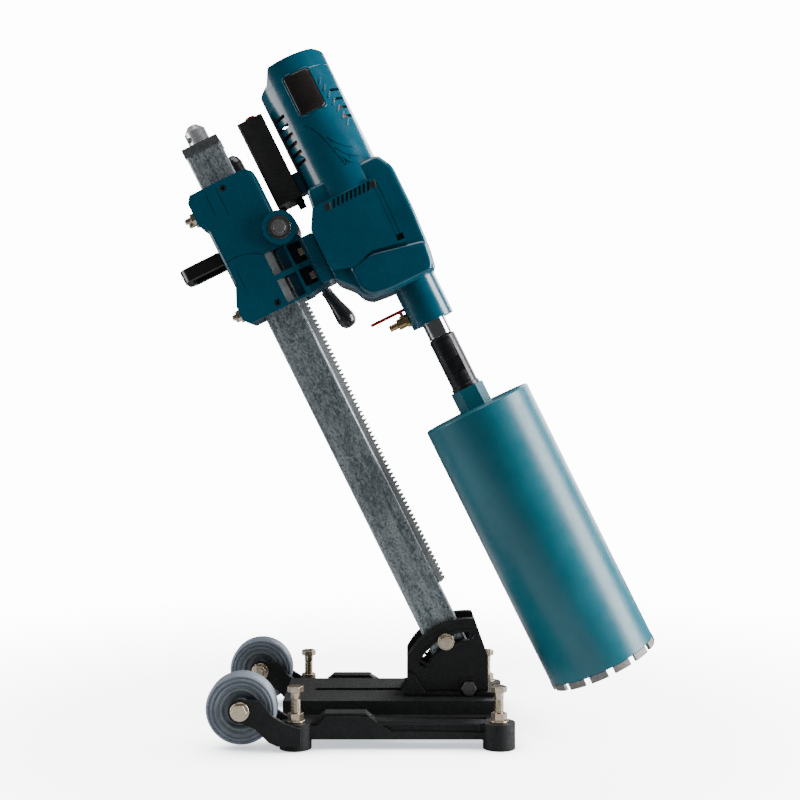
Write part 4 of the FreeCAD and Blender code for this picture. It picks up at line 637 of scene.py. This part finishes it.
def make_drill_case():
    """Gear case: a body with rounded corners, a raised panel with a vent row, and a round lobe below it."""
    body = [
        (82, 563), (101, 542), (105, 530), (115, 521), (142, 518), (209, 518), (214, 545), (218, 602),
        (218, 668), (206, 690), (100.5, 690), (96.5, 660), (82, 640),
    ]
    core = prism_mesh(round_corners(body, 7), -44.6, 44.6)
    add_piece("gear_case_core", core, "carriage", "teal_drill", COLUMN, ("gear_housing",), 0.008, 5)
    lobe = [
        (106, 573), (142, 575.5), (213, 560), (209, 530), (203, 519.5), (146, 519.5), (118, 523), (107, 537),
    ]
    screw = [(0.0, -3.0), (3.4, -3.0), (3.4, 0.0), (2.9, 0.5), (1.7, 0.5), (1.5, -1.2), (0.0, -1.2)]
    for name, side in SIDES.items():
        make_case_panel(name, side)
        bulge = slab(round_corners(lobe, 8), side, 38, CASE_FACE - 1)
        add_piece(f"gear_case_lobe_{name}", bulge, "carriage", "teal_drill", COLUMN, (), 0.006, 5)
        for x in (116, 182.5):
            slant = [(x - 4, 651), (x + 3, 651), (x + 5.5, 660.5), (x - 1.5, 660.5)]
            block = slab(round_corners(slant, 1), side, 44, 50.6)
            add_piece(f"vent_end_{name}_{int(x)}", block, "carriage", "box_plastic", COLUMN, (), 0.0004)
        place = at_column(184.8, side * 46.6, 577.5, facing(side))
        lathe(f"case_screw_{name}", metres(screw), "carriage", "box_plastic", place, closed=False, steps=32)
    sleeve = [(44, 662), (51.6, 662), (MOTOR_RADIUS, 662.6), (MOTOR_RADIUS, 693), (44, 693)]
    lathe("motor_foot", metres(sleeve), "carriage", "teal_drill", at_column(MOTOR_X, 0, 0))


def make_motor_skin():
    """Motor barrel with a raised shield, curved grooves, ribs and slats."""
    lines = [
        [(136, 766), (146, 752), (152, 735), (158, 712), (163, 690), (164, 674)],
        [(156, 738), (163, 727), (172, 718), (181, 713)],
        [(159, 722), (166, 711), (175, 703), (183, 699)],
        [(162, 706), (169, 696), (177, 689), (184, 686)],
    ]
    tools = []
    for side in SIDES.values():
        wall = drum(MOTOR_X, MOTOR_RADIUS, side)
        tools += [ribbon(curve(line), wall, 1.2, -0.9, 1.5) for line in lines]
    barrel = carve(clean_copy("motor_housing"), tools)
    add_piece("motor_skin", barrel, "carriage", "teal_drill", COLUMN, ("motor_housing",), 0.0004, 2)
    for name, side in SIDES.items():
        wall = drum(MOTOR_X, MOTOR_RADIUS, side)
        for index in range(7):
            x = 178 + index * 1.6
            z = 806 - index * 10.5
            slat = ribbon(curve([(x, z), (x + 6, z + 9)], 4), wall, 2.2, -0.5, 1.1)
            add_piece(f"slat_{name}_{index}", slat, "carriage", "teal_drill", COLUMN, (), 0.0005)
        outline = round_corners([(137, 776), (175.5, 776), (175.5, 834), (137, 834)], 6)
        rim = ribbon(outline, wall, 2.4, -0.5, 1.4, True)
        add_piece(f"cover_rim_{name}", rim, "carriage", "teal_drill", COLUMN, (), 0.0005)


def cover_mesh(wall):
    """A domed cover on the barrel: two layers of a grid with squeezed corners, closed round the edge."""
    cells = 12
    centre_x, centre_z = 156.2, 805
    half_width, half_height = 17.6, 27.4
    bottom, top, fall = -1.0, 2.6, 0.7
    steps = [k / cells * 2 - 1 for k in range(cells + 1)]
    work = bmesh.new()
    grid = []
    for layer, drop in ((bottom, 0), (top, fall)):
        rows = []
        for v in steps:
            row = []
            for u in steps:
                corner = max(0.0, abs(u) - 0.72) / 0.28
                squeeze = 1 - 0.10 * corner ** 2 * abs(v) ** 8
                spot, out = wall(centre_x + u * half_width, centre_z + v * half_height * squeeze)
                rise = layer - drop * max(abs(u), abs(v)) ** 10
                row.append(work.verts.new((spot + out * rise) * MM))
            rows.append(row)
        for j in range(cells):
            for i in range(cells):
                work.faces.new((rows[j][i], rows[j][i + 1], rows[j + 1][i + 1], rows[j + 1][i]))
        grid.append(rows)
    edge = [(0, i) for i in range(cells)] + [(j, cells) for j in range(cells)]
    edge += [(cells, cells - i) for i in range(cells)] + [(cells - j, 0) for j in range(cells)]
    for k, (j, i) in enumerate(edge):
        m, n = edge[(k + 1) % len(edge)]
        work.faces.new((grid[0][j][i], grid[0][m][n], grid[1][m][n], grid[1][j][i]))
    bmesh.ops.recalc_face_normals(work, faces=work.faces)
    mesh = bpy.data.meshes.new("cover")
    work.to_mesh(mesh)
    work.free()
    return mesh


def make_brush_covers():
    """Rounded glossy covers that follow the barrel; the near one stands for both."""
    for name, side in SIDES.items():
        mesh = cover_mesh(drum(MOTOR_X, MOTOR_RADIUS, side))
        stands_for = ("brush_covers",) if name == "near" else ()
        add_piece(f"brush_cover_{name}", mesh, "carriage", "cover_plastic", COLUMN, stands_for, 0.0008, 3)


def make_carriage_skin():
    """Carriage casting with a joint line and three short grooves a side, and a seal round the pinion."""
    tools = []
    for side in SIDES.values():
        wall = flat(side * CARRIAGE_FACE)
        joint_line = curve([(-41, 650), (-20, 651.5), (4, 644), (14, 634)])
        tools.append(ribbon(joint_line, wall, 1.1, -0.9, 1.5))
        for groove in ([(-22, 748), (-22.5, 712)], [(-6, 748), (-6.5, 706)], [(-30, 640), (-30, 604)]):
            tools.append(ribbon(groove, wall, 1.0, -0.7, 1.5))
    casting = carve(clean_copy("carriage_housing"), tools)
    add_piece("carriage_skin", casting, "carriage", "teal_paint", COLUMN, ("carriage_housing",), 0.0016, 3)
    ring = [(15.2, 0), (15.2, 1.2), (14.4, 1.6), (11.6, 1.6), (11.2, 0.4), (11.2, 0)]
    place = at_column(47, -43.4, 660.6, facing(SIDES["near"]))
    lathe("pinion_seal", metres(ring), "carriage", "seal_rubber", place, steps=64)


def make_bracket_lips():
    """A raised lip round each arc slot and a rim along each cheek."""
    slot_radius, lip_out, rim_radius = 68.5, 8.2, 89.5
    start, sweep, count = 88, 63, 20

    def on_arc(radius, degrees):
        angle = math.radians(degrees)
        return PIVOT_X + radius * math.cos(angle), PIVOT_Z + radius * math.sin(angle)

    turns = [start + sweep * step / count for step in range(count + 1)]
    path = [on_arc(slot_radius + lip_out, turn) for turn in turns]
    path += [on_arc(slot_radius - lip_out, turn) for turn in reversed(turns)]
    edge = [on_arc(rim_radius, turn) for turn in range(93, 152, 3)]
    for name, side in SIDES.items():
        wall = flat(side * CHEEK_FACE)
        lip = ribbon(round_corners(path, 6, 2), wall, 3.0, -0.6, 1.5, True)
        add_piece(f"slot_lip_{name}", lip, "base", "black_iron", FLOOR, (), 0.0005)
        rim = ribbon(edge, wall, 4.0, -0.6, 1.2)
        add_piece(f"cheek_rim_{name}", rim, "base", "black_iron", FLOOR, (), 0.0005)


def make_rail_borders():
    """Raised borders that leave a shallow recess along each rail's outer face."""
    outline = [(-100, 15.5), (104, 15.5), (104, 31), (-34, 31), (-46, 40), (-86, 40), (-100, 31)]
    for name, side in SIDES.items():
        border = ribbon(round_corners(outline, 5), flat(side * RAIL_FACE), 3.0, -0.8, 1.3, True)
        add_piece(f"rail_border_{name}", border, "base", "black_iron", FLOOR, (), 0.0006)


def make_levelling_bolts():
    """Hexagon heads with chamfered corners on threaded shanks."""
    crest, root, pitch = 5.95, 5.15, 1.75
    thread = [(0.0, 1.0), (4.2, 1.0), (5.3, 2.2)]
    for turn in range(34):
        base = 2.6 + turn * pitch
        thread += [(crest, base), (crest, base + 0.3), (root, base + 0.85), (root, base + 1.2)]
    thread += [(crest, 62.4), (crest, 71.2), (0.0, 71.2)]
    corner = 9 / math.cos(math.pi / 6)
    head = [(corner * math.cos(math.pi / 3 * k), corner * math.sin(math.pi / 3 * k)) for k in range(6)]
    foot_x, foot_y = 129.1, 119.7
    for end, x in (("rear", -foot_x), ("front", foot_x)):
        for name, side in SIDES.items():
            body, place = f"levelling_screw_{end}_{name}", at_floor(x, foot_y * side, 0)
            lathe(f"shank_{end}_{name}", metres(thread), body, "zinc_yellow", place, closed=False, steps=40,
                  smooth=50)
            block = prism_mesh(head, 71.0, 78.4)
            block.transform(Matrix.Rotation(math.radians(90), 4, "X"))
            stands_for = (f"levelling_bolt_{end}_{name}",)
            add_piece(f"head_{end}_{name}", block, body, "zinc_yellow", place, stands_for, 0.0007, 3)


make_wheels()
make_drill_case()
make_motor_skin()
make_brush_covers()
make_carriage_skin()
make_bracket_lips()
make_rail_borders()
make_levelling_bolts()

for node, item in frame["nodes"].items():
    item.data.materials.clear()
    item.data.materials.append(MATERIALS[SLOT_OF[node]])


# ---------------------------------------------------------------- stage, light and camera

def seen_or_lit(tree, seen, lit):
    """A strength that is high where the camera looks straight at it and low where it lights other things."""
    path = tree.nodes.new("ShaderNodeLightPath")
    level = tree.nodes.new("ShaderNodeMapRange")
    level.inputs["To Min"].default_value = lit
    level.inputs["To Max"].default_value = seen
    tree.links.new(path.outputs["Is Camera Ray"], level.inputs["Value"])
    return level.outputs["Result"]


def make_floor():
    """A round floor that looks pale to the camera, with a painted contact shadow near the rig and a rim that
    fades into the background.
    """
    work = bmesh.new()
    bmesh.ops.create_circle(work, cap_ends=True, radius=3.0, segments=96)
    mesh = bpy.data.meshes.new("floor")
    work.to_mesh(mesh)
    work.free()
    floor = bpy.data.objects.new("floor", mesh)
    bpy.context.scene.collection.objects.link(floor)
    n = Nodes("pale_floor")
    n.set(Base_Color=n.ramp(n.noise(3, 3), [(0.3, (0.34, 0.345, 0.35)), (0.7, (0.38, 0.385, 0.39))]))
    # Painted contact shadow: ambient occlusion darkens the floor's glow from near white to dark grey where
    # the rig stands close.
    painted_contact_shadow = n.add("AmbientOcclusion", samples=8)
    painted_contact_shadow.inputs["Distance"].default_value = 0.09
    near = n.ramp(painted_contact_shadow.outputs["AO"], [(0.35, (0.12, 0.13, 0.14)), (0.95, (0.97, 0.985, 1.0))])
    n.set(Roughness=0.5, Emission_Color=near, Emission_Strength=seen_or_lit(n.tree, seen=6.5, lit=0.35))
    clear = n.add("BsdfTransparent")
    fade = n.add("MixShader")
    radius = n.add("VectorMath", operation="LENGTH")
    n.link(n.place, radius.inputs[0])
    n.link(n.spread(radius.outputs["Value"], 0.0, 1.0, 0.45, 1.2), fade.inputs["Fac"])
    output = n.tree.nodes["Material Output"]
    n.link(n.shader.outputs["BSDF"], fade.inputs[1])
    n.link(clear.outputs["BSDF"], fade.inputs[2])
    n.link(fade.outputs["Shader"], output.inputs["Surface"])
    mesh.materials.append(n.material)


def make_world():
    """A white surround: bright to look at, gentler as a light."""
    world = bpy.data.worlds.new("studio")
    bpy.context.scene.world = world
    world.use_nodes = True
    tree = world.node_tree
    background = tree.nodes["Background"]
    background.inputs["Color"].default_value = (0.97, 0.985, 1.0, 1)
    tree.links.new(seen_or_lit(tree, seen=14.0, lit=0.06), background.inputs["Strength"])


def softbox(name, spot, target, size, power):
    """A white area light that faces a target."""
    light = bpy.data.lights.new(name, "AREA")
    light.shape = "RECTANGLE"
    light.size, light.size_y = size
    light.energy = power
    lamp = bpy.data.objects.new(name, light)
    bpy.context.scene.collection.objects.link(lamp)
    lamp.location = spot
    lamp.rotation_euler = (Vector(target) - Vector(spot)).to_track_quat("-Z", "Y").to_euler()


def make_camera():
    """Level, at about half the rig's height, square to its side."""
    camera = bpy.data.cameras.new("camera")
    camera.sensor_width = 36
    camera.lens = 58.6
    camera.clip_start = 0.05
    holder = bpy.data.objects.new("camera", camera)
    bpy.context.scene.collection.objects.link(holder)
    holder.location = (0.0034, -1.7718, 0.4412)
    holder.rotation_euler = (math.radians(90), 0, 0)
    bpy.context.scene.camera = holder


make_floor()
make_world()
softbox("left_panel", (-1.9, -0.12, 0.8), (0, 0, 0.45), (1.1, 1.6), 30)
softbox("right_panel", (1.75, -0.25, 0.85), (0, 0, 0.45), (0.9, 1.7), 86)
softbox("back_panel", (0.9, 1.5, 1.0), (0, 0, 0.45), (1.2, 1.4), 30)
softbox("top_panel", (0.0, -0.25, 2.1), (0, 0, 0.4), (1.5, 1.2), 20)
make_camera()
